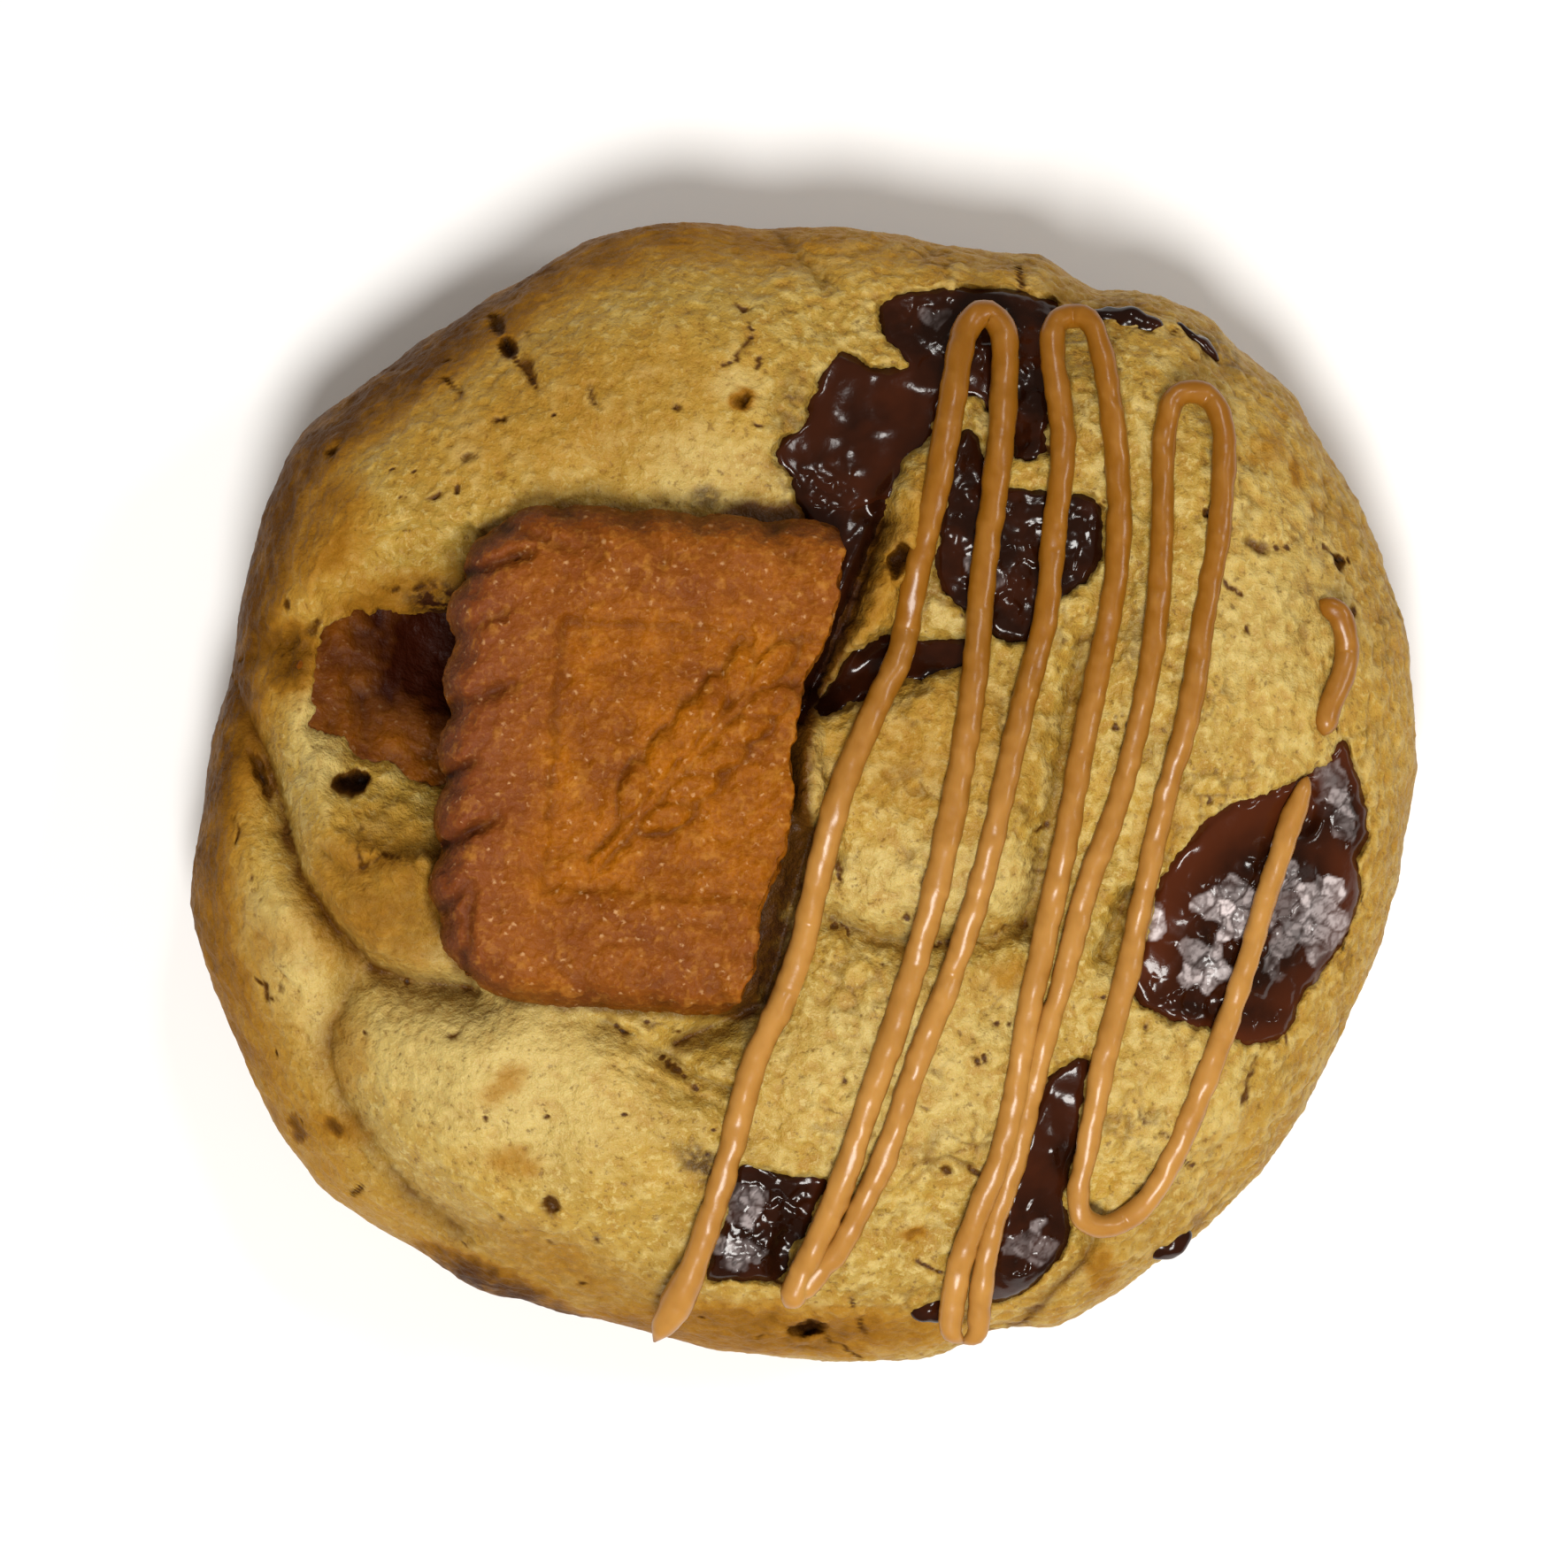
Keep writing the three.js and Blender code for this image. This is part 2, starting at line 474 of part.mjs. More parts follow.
const cookie = new THREE.Group();
cookie.add(pieceMesh('dough', asGeometry(doughWithSpread()), '#c2a05a', 0.8));
for (const [name, pool] of Object.entries(POOLS)) {
  cookie.add(pieceMesh(name, asGeometry(mainPiece(chocolatePool(pool))), '#31180e', 0.3));
}
const biscuits = {
  half_biscuit: [mouldedBiscuit(), HALF_BISCUIT],
  sunk_biscuit: [plainBiscuit(), SUNK_BISCUIT],
};
for (const [name, [biscuit, piece]] of Object.entries(biscuits)) {
  const mesh = pieceMesh(name, asGeometry(biscuitPiece(biscuit, piece)), '#97591d', 0.85);
  const place = biscuitPlace(piece);
  mesh.position.copy(place.position);
  mesh.rotation.copy(place.rotation);
  cookie.add(mesh);
}

export default cookie;
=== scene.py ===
"""The looks of a chocolate chunk cookie with half a spiced biscuit pressed into its top.

Sizes are in millimetres in the part's own frame, +Z up, and MM turns them into metres.
"""

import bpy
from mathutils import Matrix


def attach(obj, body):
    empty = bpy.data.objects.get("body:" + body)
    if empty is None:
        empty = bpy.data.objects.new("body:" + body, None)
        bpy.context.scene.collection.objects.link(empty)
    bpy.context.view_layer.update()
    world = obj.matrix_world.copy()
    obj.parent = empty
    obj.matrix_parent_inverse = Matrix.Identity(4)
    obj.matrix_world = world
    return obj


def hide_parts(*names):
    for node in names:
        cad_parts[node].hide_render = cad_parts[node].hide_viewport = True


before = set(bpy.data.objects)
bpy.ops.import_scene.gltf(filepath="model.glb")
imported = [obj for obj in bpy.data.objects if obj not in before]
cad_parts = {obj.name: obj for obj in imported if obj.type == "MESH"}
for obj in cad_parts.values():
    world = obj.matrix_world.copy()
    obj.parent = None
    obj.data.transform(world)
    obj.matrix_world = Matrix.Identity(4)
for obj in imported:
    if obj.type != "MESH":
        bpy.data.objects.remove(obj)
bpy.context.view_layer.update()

import math

import bmesh
import bpy
import numpy as np
from mathutils import Euler, Matrix, Vector

MM = 0.001

# ---------------------------------------------------------------------------------------------
# The dough
# Butter and flour dough, scooped and baked as one thick round lump. It slumped in the oven into
# a low dome with rolls, folds and cracks, and its crust browned most at the rim and underneath.
# ---------------------------------------------------------------------------------------------
DOUGH_TOP = 21.6
WIDEST_HEIGHT = 9
BASE_INSET = 3
MEAN_RADIUS = 39.3
DOME_POWER = 4
RIM_RELIEF = 0.25

# Angle from +X in degrees, radius at the widest height
OUTLINE = np.array([
    (0, 40.2), (18, 41.0), (37, 41.3), (45, 41.0), (50, 41.1), (56, 39.9), (60, 38.3), (66, 38.4),
    (72, 37.7), (80, 37.2), (90, 37.2), (95, 37.2), (102, 38.4), (110, 38.8), (126, 38.4),
    (138, 39.3), (145, 40.5), (152, 40.0), (168, 38.5), (180, 39.3), (189, 40.7), (205, 40.5),
    (219, 41.0), (228, 39.7), (236, 39.1), (245, 37.5), (262, 37.1), (275, 37.6), (285, 38.0),
    (290, 37.6), (296, 38.8), (320, 39.0), (340, 39.1),
])

# Swellings and hollows of the top: middle, half sizes, turn of the first half size, rise
LUMPS = [
    ((-24, 20), (14, 8.5), 45, 1.7),
    ((-6, 26), (9, 7), 0, 1.0),
    ((-27.5, -4), (7, 5.6), 80, 2.4),
    ((-34.5, -12), (11, 4), 105, 0.8),
    ((-16, -21.5), (12.5, 7.5), -12, 2.2),
    ((7.5, -0.8), (9.3, 8.3), 0, 1.8),
    ((4.5, -18.5), (8, 8), 0, 1.3),
    ((0, -31.5), (13, 3.4), 0, 1.0),
    ((20, -30.4), (7, 3), 30, 1.6),
    ((24.5, -20.5), (6.5, 5.5), 0, 1.1),
    ((28.5, 11), (11, 8), 90, 1.2),
    ((26.5, 24), (8, 6), 130, 0.9),
    ((4.9, 14.4), (7.8, 2.0), 63, 2.8),
    ((0.5, 0.8), (4.2, 0.9), 90, 1.5),
    ((-25.5, 9.8), (7, 4.4), 12, -3.6),
    ((6.5, 25), (8, 7.5), 0, -0.9),
    ((5, 7.6), (5.5, 2.2), 25, -1.0),
]

# Folds pressed into the top: the line each follows, its half width to the left and to the right of
# that line, and its depth
FOLDS = [
    ([(-36.7, 6.8), (-34.8, 3.2), (-33.5, -0.6), (-32, -5.1), (-29.7, -8.5), (-27.4, -11.1),
      (-24.8, -12.1), (-21, -12.4)], 0.7, 1.9, 3.2),
    ([(-28.7, -12.2), (-29.9, -15), (-30.3, -17.3), (-29.3, -19.6), (-27.5, -22.5), (-24.6, -26),
      (-21.9, -28.1)], 1.2, 2.3, 1.7),
    ([(-30.4, -3.5), (-29.3, -4.6), (-28.3, -4.9), (-27.3, -4.7), (-26, -3.6), (-24.6, -3.2)],
     0.3, 1.1, 0.8),
    ([(-12.5, -14.4), (-9, -16.2), (-6.5, -17.9), (-4, -18.9)], 0.35, 1.0, 1.1),
    ([(-10.5, -17.2), (-8, -18.6), (-5.5, -19.4)], 0.3, 0.9, 0.5),
    ([(17.8, 9.8), (16.9, 5.4), (15.8, -0.3), (14.1, -8.6)], 1.6, 0.9, 1.6),
    ([(1.9, -8), (5, -9.3), (8.5, -9.4), (12, -9.2), (14.1, -8.4)], 1.1, 1.0, 1.8),
    ([(0.7, 6.7), (2.9, 11), (5, 17)], 1.0, 1.3, 4.2),
    ([(0.6, -2.5), (-0.4, -6), (-1.4, -10), (-2.4, -13.4), (-8, -15.9)], 1.3, 1.0, 2.6),
    ([(-2.3, 37.5), (-0.7, 35.1), (1.4, 32.8)], 1.3, 0.8, 1.5),
    ([(20.7, -6.4), (19, -10.3)], 1.2, 0.6, 1.8),
    ([(13.5, -35.5), (16, -32.4), (18.2, -30), (18.8, -28.2)], 1.3, 0.7, 2.0),
    ([(-39, 7.4), (-36, 8.6), (-32.5, 9.8)], 1.2, 1.4, 1.8),
]

# Where the melted chocolate pushed the dough aside, each seen from above
POOLS = {
    "chocolate_upper": [
        (5.4, 31.6), (9, 32.4), (13, 32.3), (16.6, 31.4), (15.9, 28), (15.7, 24), (15.2, 21.4),
        (13.6, 21.2), (12.7, 23.5), (11, 25.2), (9, 24.7), (8.2, 22.6), (6.4, 20.8), (5.2, 18.6),
        (3, 17.7), (0.4, 17.9), (-0.4, 19.6), (-1.8, 21.4), (0.2, 23.4), (0.9, 25.8), (2.4, 28),
        (4.4, 27), (6.6, 27.2), (5.2, 29.4)],
    "chocolate_middle": [
        (10.2, 23), (11.2, 22.4), (11.8, 20.1), (13.6, 19.2), (16, 19), (18.7, 18.6), (19, 16.5),
        (18.6, 14.3), (17.2, 12.9), (15.6, 11.8), (14.6, 9.8), (12.4, 9.7), (11, 11), (9.6, 12),
        (8.6, 13.6), (8.7, 16.5), (9.4, 19.6)],
    "chocolate_under_ridge": [
        (0.9, 5.3), (1.9, 7.2), (3.4, 9), (5.6, 10), (8, 9.6), (10.3, 9.7), (10.4, 8), (7.8, 7.3),
        (5.4, 6.6), (3.2, 5.6), (1.7, 4.9)],
    "chocolate_right": [
        (21, -12), (22.8, -14.2), (25.8, -14.9), (28.4, -16), (31.1, -15.5), (32.4, -12.6),
        (34.4, -10.4), (36, -6.4), (35.7, -4.2), (36.4, -2.6), (35.8, 0.6), (34.6, 3.2),
        (33.4, 1.7), (29.5, -0.2), (26.6, -1.2), (24.2, -3.6), (22.4, -6.3), (21.9, -8.8)],
    "chocolate_lower_right": [
        (18, -17), (15.8, -17.9), (14.9, -20.4), (13.8, -23.4), (13, -27), (12.2, -29.8),
        (12, -32.6), (13.2, -32.7), (15.2, -31.3), (17, -28.8), (16.8, -26), (17.4, -21.4)],
    "chocolate_lower": [
        (-3.8, -23.3), (-0.9, -24.3), (1.5, -24.4), (0.9, -26.6), (-0.3, -29), (-1.3, -31),
        (-3.6, -31), (-6, -31), (-5.3, -28.8), (-4.5, -26)],
}

# A thin film of the same chocolate that ran down the cleft beside the half biscuit
CLEFT_FILM = [
    (-0.6, 20.2), (4.6, 19), (5, 17.2), (3.9, 14.6), (3.1, 12.4), (2.1, 10.2), (1.5, 8.4),
    (0.9, 5.6), (-0.4, 4.2), (-0.2, 7.5), (0.5, 11), (0.6, 14.5), (0.2, 17.2)]

# Where the two biscuits lie: the point of each that is placed, and its turn about X, Y and Z
BISCUIT_THICKNESS = 6
HALF_BISCUIT_AT = (-11.2, 2.05, 26.2)
HALF_BISCUIT_TURN = (0.8, 1.6, -4)
SUNK_BISCUIT_AT = (-26.7, 6.2, 16)
SUNK_BISCUIT_TURN = (-8, 8, -7)

# Burst bubbles, torn spots and cracks that stand out: middle, half sizes, turn, depth
HOLES = [
    ((-19.6, 30.2), (0.85, 0.36), -50, 1.0),
    ((-18.8, 28.4), (0.7, 0.45), -62, 1.2),
    ((-17.4, 26.8), (1.1, 0.4), -68, 0.7),
    ((-13.3, 24.9), (0.9, 0.2), -65, 0.5),
    ((-7.8, 24.3), (0.3, 0.25), 0, 0.6),
    ((-19.2, 23.6), (0.45, 0.22), 0, 0.6),
    ((-21.2, 21.1), (0.5, 0.3), 40, 0.5),
    ((-3.6, 24.7), (0.35, 0.35), 0, 0.8),
    ((-28.7, 0.6), (0.9, 0.7), 10, 2.4),
    ((-30.0, 21.8), (0.35, 0.5), 20, 0.8),
    ((-15.9, -26.1), (0.45, 0.75), 0, 0.9),
    ((0.4, -34.6), (1.0, 0.5), 5, 1.6),
    ((28.9, 15.6), (1.0, 0.35), -15, 0.5),
    ((34.6, 14.8), (0.55, 0.35), -10, 0.9),
    ((6.1, 14.5), (0.6, 1.0), -10, 1.8),
    ((-31.2, 10.6), (0.8, 0.3), 35, 0.5),
    ((-34.9, 1.2), (1.7, 0.35), 115, 0.8),
    ((-30.1, -21.5), (0.5, 0.45), 0, 0.3),
    ((-32.6, -21.8), (0.4, 1.0), 0, 0.2),
]

# Cracks that stand out, each a line through its corners
CRACK_LINES = [
    [(30.0, 15.5), (31.3, 15.9), (32.5, 16.3)],
    [(33.3, 15.6), (34.3, 14.9), (35.3, 14.8)],
    [(26.5, 13.6), (27.3, 12.9), (27.8, 12.4)],
    [(7.9, -23.0), (9.0, -23.9), (10.2, -23.6), (11.2, -24.0)],
    [(21.5, -20.1), (22.1, -21.5), (23.0, -21.7)],
    [(24.4, -23.4), (25.2, -24.2), (25.0, -25.6)],
    [(-12.3, -14.3), (-9.4, -16.4), (-6.6, -18.7)],
    [(-9.8, -14.5), (-6.2, -15.8)],
    [(-28.5, -2.8), (-27.6, -4.7), (-26.3, -3.9), (-25.0, -4.2)],
    [(-27.5, 13.2), (-25.6, 13.1), (-23.6, 13.2)],
    [(-21.0, 30.6), (-19.2, 29.2), (-18.2, 27.6), (-16.9, 25.6)],
    [(1.0, -7.4), (3.5, -9.1), (6.6, -9.6), (10.0, -9.5), (13.6, -8.3)],
]

# Where thin chocolate was smeared over the dough, and where shade and shadow are painted in the same dark
# colour: on the dough wall by the sunk biscuit, in the strip beside the half biscuit's break, on the lump
# left of it and under the near left edge: middle, half sizes, turn, strength
STAINS_AND_SHADE = [
    ((1.6, 11.5), (8.5, 1.7), 68, 1.0),
    ((-23.2, 12.4), (2.4, 1.3), 0, 1.0),
    ((-0.6, 22.6), (1.5, 4.2), 0, 0.5),
    ((-6.1, 18.6), (1.0, 0.8), 0, 0.7),
    ((-6.3, -23.4), (2.0, 1.0), -35, 0.8),
    ((-32.3, -21.6), (0.8, 1.2), 20, 0.2),
    ((-29.8, -21.5), (0.6, 0.5), 0, 0.3),
    ((27.1, 28.4), (2.6, 1.0), -42, 0.55),
    ((-1.7, -9.2), (6.8, 1.0), 75, 0.7),
    ((-16, -30.3), (8, 2.6), -25, 0.22),
    ((-18.6, -33.6), (8, 1.2), -28, 0.8),
    ((-26.4, -7), (4.5, 4.5), 0, 0.25),
]

# Where the crust turned amber and then brown, and where shade is painted in the same colours: in the
# cavity beside the sunk biscuit, along the left rim, on the lump left of the half biscuit and under the
# near left edge
TOASTED_AND_SHADED = [
    ((-26.6, -6.4), (5.5, 6), 80, 0.5),
    ((-8, 35.4), (15, 3.2), 0, 0.15),
    ((7.2, 3), (9, 5), 0, 0.25),
    ((5.4, 14.2), (7.5, 1.9), 63, 0.5),
    ((-33.2, 8.8), (2.6, 3.0), 15, 0.85),
    ((-25.4, 12.4), (6, 1.9), 8, 0.6),
    ((-18.7, -18.4), (1.9, 0.9), 40, 0.42),
    ((-18.2, -23.3), (1.7, 1.0), -10, 0.5),
    ((-3.7, 24.8), (0.9, 0.8), 0, 0.9),
    ((7.0, -28.0), (0.9, 0.6), 0, 0.7),
    ((19.3, -31), (1.4, 2.0), 0, 0.6),
    ((-35.5, -9.8), (1.7, 4), 100, 0.4),
    ((-29.2, -16.6), (1.8, 3), 0, 0.36),
    ((-30.6, -21.6), (3, 1.6), 0, 0.5),
    ((-35.5, 16), (3, 9), -20, 0.9),
    ((-16, 24.5), (13, 5.5), 10, 0.3),
    ((29.8, 21.9), (1.6, 1.3), 0, 0.45),
    ((31.7, 20.4), (0.6, 1.4), 10, 0.6),
    ((32.7, 18.2), (0.5, 0.4), 0, 0.5),
    ((12.9, -11.6), (1.3, 1.2), 0, 0.4),
    ((22.5, -2.5), (2.5, 1.5), 60, 0.35),
    ((-4, -34.8), (16, 2.4), 0, 0.7),
    ((-31.2, 17), (4, 5), -30, 0.62),
    ((-15, -30.8), (7, 2.6), -25, 0.4),
    ((-18.5, -32.9), (8, 1.8), -28, 1.0),
    ((-30.1, -21.5), (0.9, 0.8), 0, 0.9),
    ((-32.6, -21.8), (0.7, 1.3), 0, 0.9),
]

# Where the crust is painted paler
PALER = [
    ((-20, -17), (10, 6), -20, 0.8),
    ((-32.5, -11), (6, 2.2), 115, 0.7),
    ((7.5, -6), (6, 3.2), 0, 0.6),
    ((6.5, -18), (8, 7), 0, 0.4),
    ((-31, 3.5), (1.6, 4), 20, 0.8),
    ((0.4, 0.8), (4.2, 1.0), 90, 0.5),
    ((30, 10), (5, 10), 0, 0.35),
    ((24, -20), (4, 6), 0, 0.35),
    ((-4.2, 25.6), (1.6, 1.2), 0, 0.9),
    ((-21.3, 21.4), (1.0, 0.8), 0, 0.9),
    ((-6, 20.5), (4, 2.5), 0, 0.5),
    ((12.6, -5.6), (2.6, 2.4), 0, 0.6),
]

random = np.random.default_rng(5)
NOISE_SHUFFLE = random.permutation(256)
NOISE_SLOPES = random.normal(size=(256, 3))
NOISE_SLOPES /= np.linalg.norm(NOISE_SLOPES, axis=1)[:, None]


def unevenness(points, size, layer=0):
    """Smooth noise between about -1 and 1 at the points, its swellings about `size` apart.

    Each layer is another pattern, and each use has its own.
    """
    at = np.asarray(points, float) / size + 37.7 * layer
    cell = np.floor(at).astype(int)
    part = at - cell
    blend = part ** 3 * (part * (part * 6 - 15) + 10)
    total = np.zeros(len(at))
    for corner in np.ndindex(2, 2, 2):
        key = np.zeros(len(at), int)
        weight = np.ones(len(at))
        for axis, step in enumerate(corner):
            key = NOISE_SHUFFLE[(key + cell[:, axis] + step) & 255]
            weight = weight * (blend[:, axis] if step else 1 - blend[:, axis])
        total += weight * np.einsum("ij,ij->i", NOISE_SLOPES[key], part - corner)
    return 1.5 * total


def smooth_step(value):
    """0 up to a value of 0 and 1 from a value of 1, with a soft rise between them."""
    t = np.clip(value, 0, 1)
    return t * t * (3 - 2 * t)


def facets(points, size, soften, layer=0):
    """Small flat faces that tilt at random, each about `size` across.

    Gives each point's height and tone, how far inside its face it is, and the middle of that face.
    """
    at = np.asarray(points, float) / size + 11.3 * layer
    cell = np.floor(at).astype(int)
    near, next_near = np.full(len(at), 9.0), np.full(len(at), 9.0)
    high, next_high, tone, next_tone = (np.zeros(len(at)) for _ in range(4))
    middle = np.zeros(at.shape)
    for step in np.ndindex(3, 3, 3):
        corner = cell + step - 1
        key = np.zeros(len(at), int)
        for axis in range(3):
            key = NOISE_SHUFFLE[(key + corner[:, axis]) & 255]
        own_middle = corner + 0.5 + 0.45 * NOISE_SLOPES[key]
        away = at - own_middle
        distance = np.linalg.norm(away, axis=1)
        tilt = NOISE_SLOPES[(key + 85) & 255]
        value = np.einsum("ij,ij->i", tilt, away) + 0.3 * tilt[:, 0]
        first = distance < near
        second = ~first & (distance < next_near)
        next_near = np.where(first, near, np.where(second, distance, next_near))
        next_high = np.where(first, high, np.where(second, value, next_high))
        next_tone = np.where(first, tone, np.where(second, key / 255, next_tone))
        near, high, tone = (np.where(first, new, old) for new, old in
                            ((distance, near), (value, high), (key / 255, tone)))
        middle[first] = own_middle[first]
    inner = smooth_step((next_near - near) / soften)
    own = 0.5 + 0.5 * inner
    middle = (middle - 11.3 * layer) * size
    return own * high + (1 - own) * next_high, own * tone + (1 - own) * next_tone, inner, middle


def flat(x, y, z=0.0):
    """Points from separate coordinates."""
    return np.column_stack([x, y, np.broadcast_to(z, np.shape(x))])


def outline_radius(degrees):
    """Radius of the cookie's outline at an angle, on a smooth curve through its points."""
    knots, radii = OUTLINE.T
    turn = np.mod(degrees, 360)
    start = np.searchsorted(knots, turn, side="right") - 1

    def neighbour(step):
        index = start + step
        return knots[index % len(knots)] + 360 * (index // len(knots)), radii[index % len(knots)]

    (before, r_before), (here, r_here), (there, r_there), (after, r_after) = map(neighbour, (-1, 0, 1, 2))
    span = there - here
    slope_here = (r_there - r_before) / (there - before) * span
    slope_there = (r_after - r_here) / (after - here) * span
    t = (turn - here) / span
    return ((2 * t ** 3 - 3 * t ** 2 + 1) * r_here + (t ** 3 - 2 * t ** 2 + t) * slope_here
            + (3 * t ** 2 - 2 * t ** 3) * r_there + (t ** 3 - t ** 2) * slope_there)


def side_of_line(line, x, y):
    """Distance of each point from an open line, negative to the right of the line's direction."""
    nearest = np.full(np.shape(x), np.inf)
    for (ax, ay), (bx, by) in zip(line, line[1:]):
        dx, dy = bx - ax, by - ay
        t = np.clip(((x - ax) * dx + (y - ay) * dy) / (dx * dx + dy * dy), 0, 1)
        away = np.hypot(x - ax - t * dx, y - ay - t * dy)
        signed = np.where(dx * (y - ay) - dy * (x - ax) < 0, -away, away)
        nearest = np.where(away < np.abs(nearest), signed, nearest)
    return nearest


def distance_to_line(line, x, y):
    """How far each point lies from an open line."""
    return np.abs(side_of_line(line, x, y))


def depth_inside(outline, x, y, reach=4):
    """How far each point lies inside a closed outline; negative outside, to -reach at least."""
    corners = np.asarray(outline)
    depth = np.full(np.shape(x), -float(reach))
    low, high = corners.min(0) - reach, corners.max(0) + reach
    near = (x > low[0]) & (x < high[0]) & (y > low[1]) & (y < high[1])
    px, py = x[near], y[near]
    closed = np.vstack([corners, corners[:1]])
    distance = distance_to_line(closed, px, py)
    inside = np.zeros(px.shape, bool)
    for (ax, ay), (bx, by) in zip(closed, closed[1:]):
        if ay != by:
            inside ^= ((ay > py) != (by > py)) & (px < ax + (py - ay) * (bx - ax) / (by - ay))
    depth[near] = np.where(inside, distance, -distance)
    return depth


def curve_between(before, here, there, after, t):
    """Points on a smooth curve from `here` to `there`, at shares t of the way."""
    return 0.5 * (2 * here + (there - before) * t
                  + (2 * before - 5 * here + 4 * there - after) * t ** 2
                  + (3 * here - before - 3 * there + after) * t ** 3)


def smooth_outline(corners, steps=3):
    """A closed smooth curve through the corners."""
    corners = np.asarray(corners, float)
    t = np.linspace(0, 1, steps, endpoint=False)[:, None]
    neighbours = (np.roll(corners, -k, axis=0)[:, None] for k in (-1, 0, 1, 2))
    return curve_between(*neighbours, t).reshape(-1, 2)


def swelling(x, y, middle, half, turn):
    """1 in the middle of an oval, falling smoothly to 0 past its edge."""
    angle = math.radians(turn)
    dx, dy = x - middle[0], y - middle[1]
    u = (dx * math.cos(angle) + dy * math.sin(angle)) / half[0]
    v = (dy * math.cos(angle) - dx * math.sin(angle)) / half[1]
    return np.exp(-((u * u + v * v) ** 2))


def strongest(spots, x, y):
    """The most that any oval spot gives a point: middle, half sizes, turn and strength of each."""
    most = np.zeros(np.shape(x))
    for middle, half, turn, strength in spots:
        most = np.maximum(most, strength * swelling(x, y, middle, half, turn))
    return most


def fold_depth(x, y, narrow=1.0):
    """Depth of the folds at a point, with every fold narrowed to a share of its width."""
    depth = np.zeros(np.shape(x))
    for line, left, right, deep in FOLDS:
        away = side_of_line(line, x, y)
        half = np.where(away > 0, left, right) * narrow
        depth += deep * np.maximum(1 - np.abs(away) / (2.2 * half), 0) ** 2
    return depth


def relief(x, y):
    """Height that lumps, folds and the dough's own unevenness add at a point of the top."""
    height = 0.35 * unevenness(flat(x, y, 1.5), 6) + 0.25 * unevenness(flat(x, y, 4.5), 3)
    for middle, half, turn, rise in LUMPS:
        height += rise * swelling(x, y, middle, half, turn)
    return height - fold_depth(x, y)


def dome_height(share):
    """Height of the plain dome, at a share of the way from its middle to its rim."""
    dome = np.sqrt(np.maximum(1 - share ** DOME_POWER, 0))
    return WIDEST_HEIGHT + (DOUGH_TOP - WIDEST_HEIGHT) * dome


def relief_share(share):
    """How much of the relief there is, which fades towards the rim."""
    return 1 - (1 - RIM_RELIEF) * smooth_step((share - 0.8) / 0.2)


def top_height(x, y):
    """Height of the dough over a point, before chocolate and biscuits dent it."""
    share = np.minimum(np.hypot(x, y) / outline_radius(np.degrees(np.arctan2(y, x))), 1)
    return dome_height(share) + relief(x, y) * relief_share(share)


def place_of(at, turn):
    """Matrix of a place and of turns about X, Y and Z in degrees."""
    turned = Euler([math.radians(angle) for angle in turn], "XYZ").to_matrix().to_4x4()
    return Matrix.Translation(at) @ turned


def plane_height(x, y, at, turn, depth=0):
    """Height over a point of a biscuit's face, or of a level below that face."""
    matrix = place_of(at, turn)
    normal = matrix.to_3x3() @ Vector((0, 0, 1))
    foot = matrix @ Vector((0, 0, -depth))
    return foot.z - (normal.x * (x - foot.x) + normal.y * (y - foot.y)) / normal.z


def in_cookie_frame(outline, at, turn):
    """A biscuit's own outline, moved to where it lies on the cookie."""
    matrix = place_of(at, turn)
    return np.array([(matrix @ Vector((px, py, 0)))[:2] for px, py in outline])


# What is left of each biscuit, about the point of it that is placed
HALF_BISCUIT_KEPT = np.array([
    (-5.5, -15.7), (6.4, -15.7), (7, -15.5), (8.3, -14.6), (9, -12.9), (9.4, -9), (10.1, -6.3),
    (10.8, -4), (10.8, -1.5), (10.4, 1.2), (10.8, 4.1), (11.3, 6.2), (12.1, 8.1), (12.6, 10),
    (12.8, 13), (12.5, 15.7), (-5.5, 15.7), (-9.7, 13.9), (-11.5, 9.7), (-11.5, -9.7), (-9.7, -13.9)])
SUNK_BISCUIT_KEPT = np.array([
    (-5.5, -3), (-3.3, -3.6), (-1, -4.9), (1.1, -5.7), (3.8, -6), (6.7, -5.1), (5.3, 6.5),
    (2.9, 7.1), (-0.1, 6.4), (-2.9, 5.9), (-4.9, 4.2), (-5.5, 4)])


def points_of(mesh):
    points = np.empty(len(mesh.vertices) * 3, np.float32)
    mesh.vertices.foreach_get("co", points)
    return points.reshape(-1, 3).astype(float)


def normals_of(mesh):
    normals = np.empty(len(mesh.vertices) * 3, np.float32)
    mesh.vertex_normals.foreach_get("vector", normals)
    return normals.reshape(-1, 3).astype(float)


def set_points(mesh, points):
    mesh.vertices.foreach_set("co", np.ascontiguousarray(points, np.float32).ravel())
    mesh.update()


def paint(mesh, name, amount):
    """Keeps a number for each point of the mesh, which its material reads by name."""
    attribute = mesh.attributes.new(name, "FLOAT", "POINT")
    attribute.data.foreach_set("value", np.clip(amount, 0, 1).astype(np.float32))


def make_piece(name, mesh, material, slot, *nodes):
    """Makes a piece of the cookie from a mesh, in place of the nodes named."""
    piece = bpy.data.objects.new(name, mesh)
    bpy.context.scene.collection.objects.link(piece)
    mesh.materials.clear()
    mesh.materials.append(material)
    mesh.shade_smooth()
    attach(piece, "root")
    if nodes:
        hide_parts(*nodes)
    return piece


def linear(hex_colour):
    """An sRGB colour such as "#c2a05a" as linear red, green, blue and alpha."""
    parts = [int(hex_colour[i:i + 2], 16) / 255 for i in (1, 3, 5)]
    return [c / 12.92 if c <= 0.04045 else ((c + 0.055) / 1.055) ** 2.4 for c in parts] + [1.0]


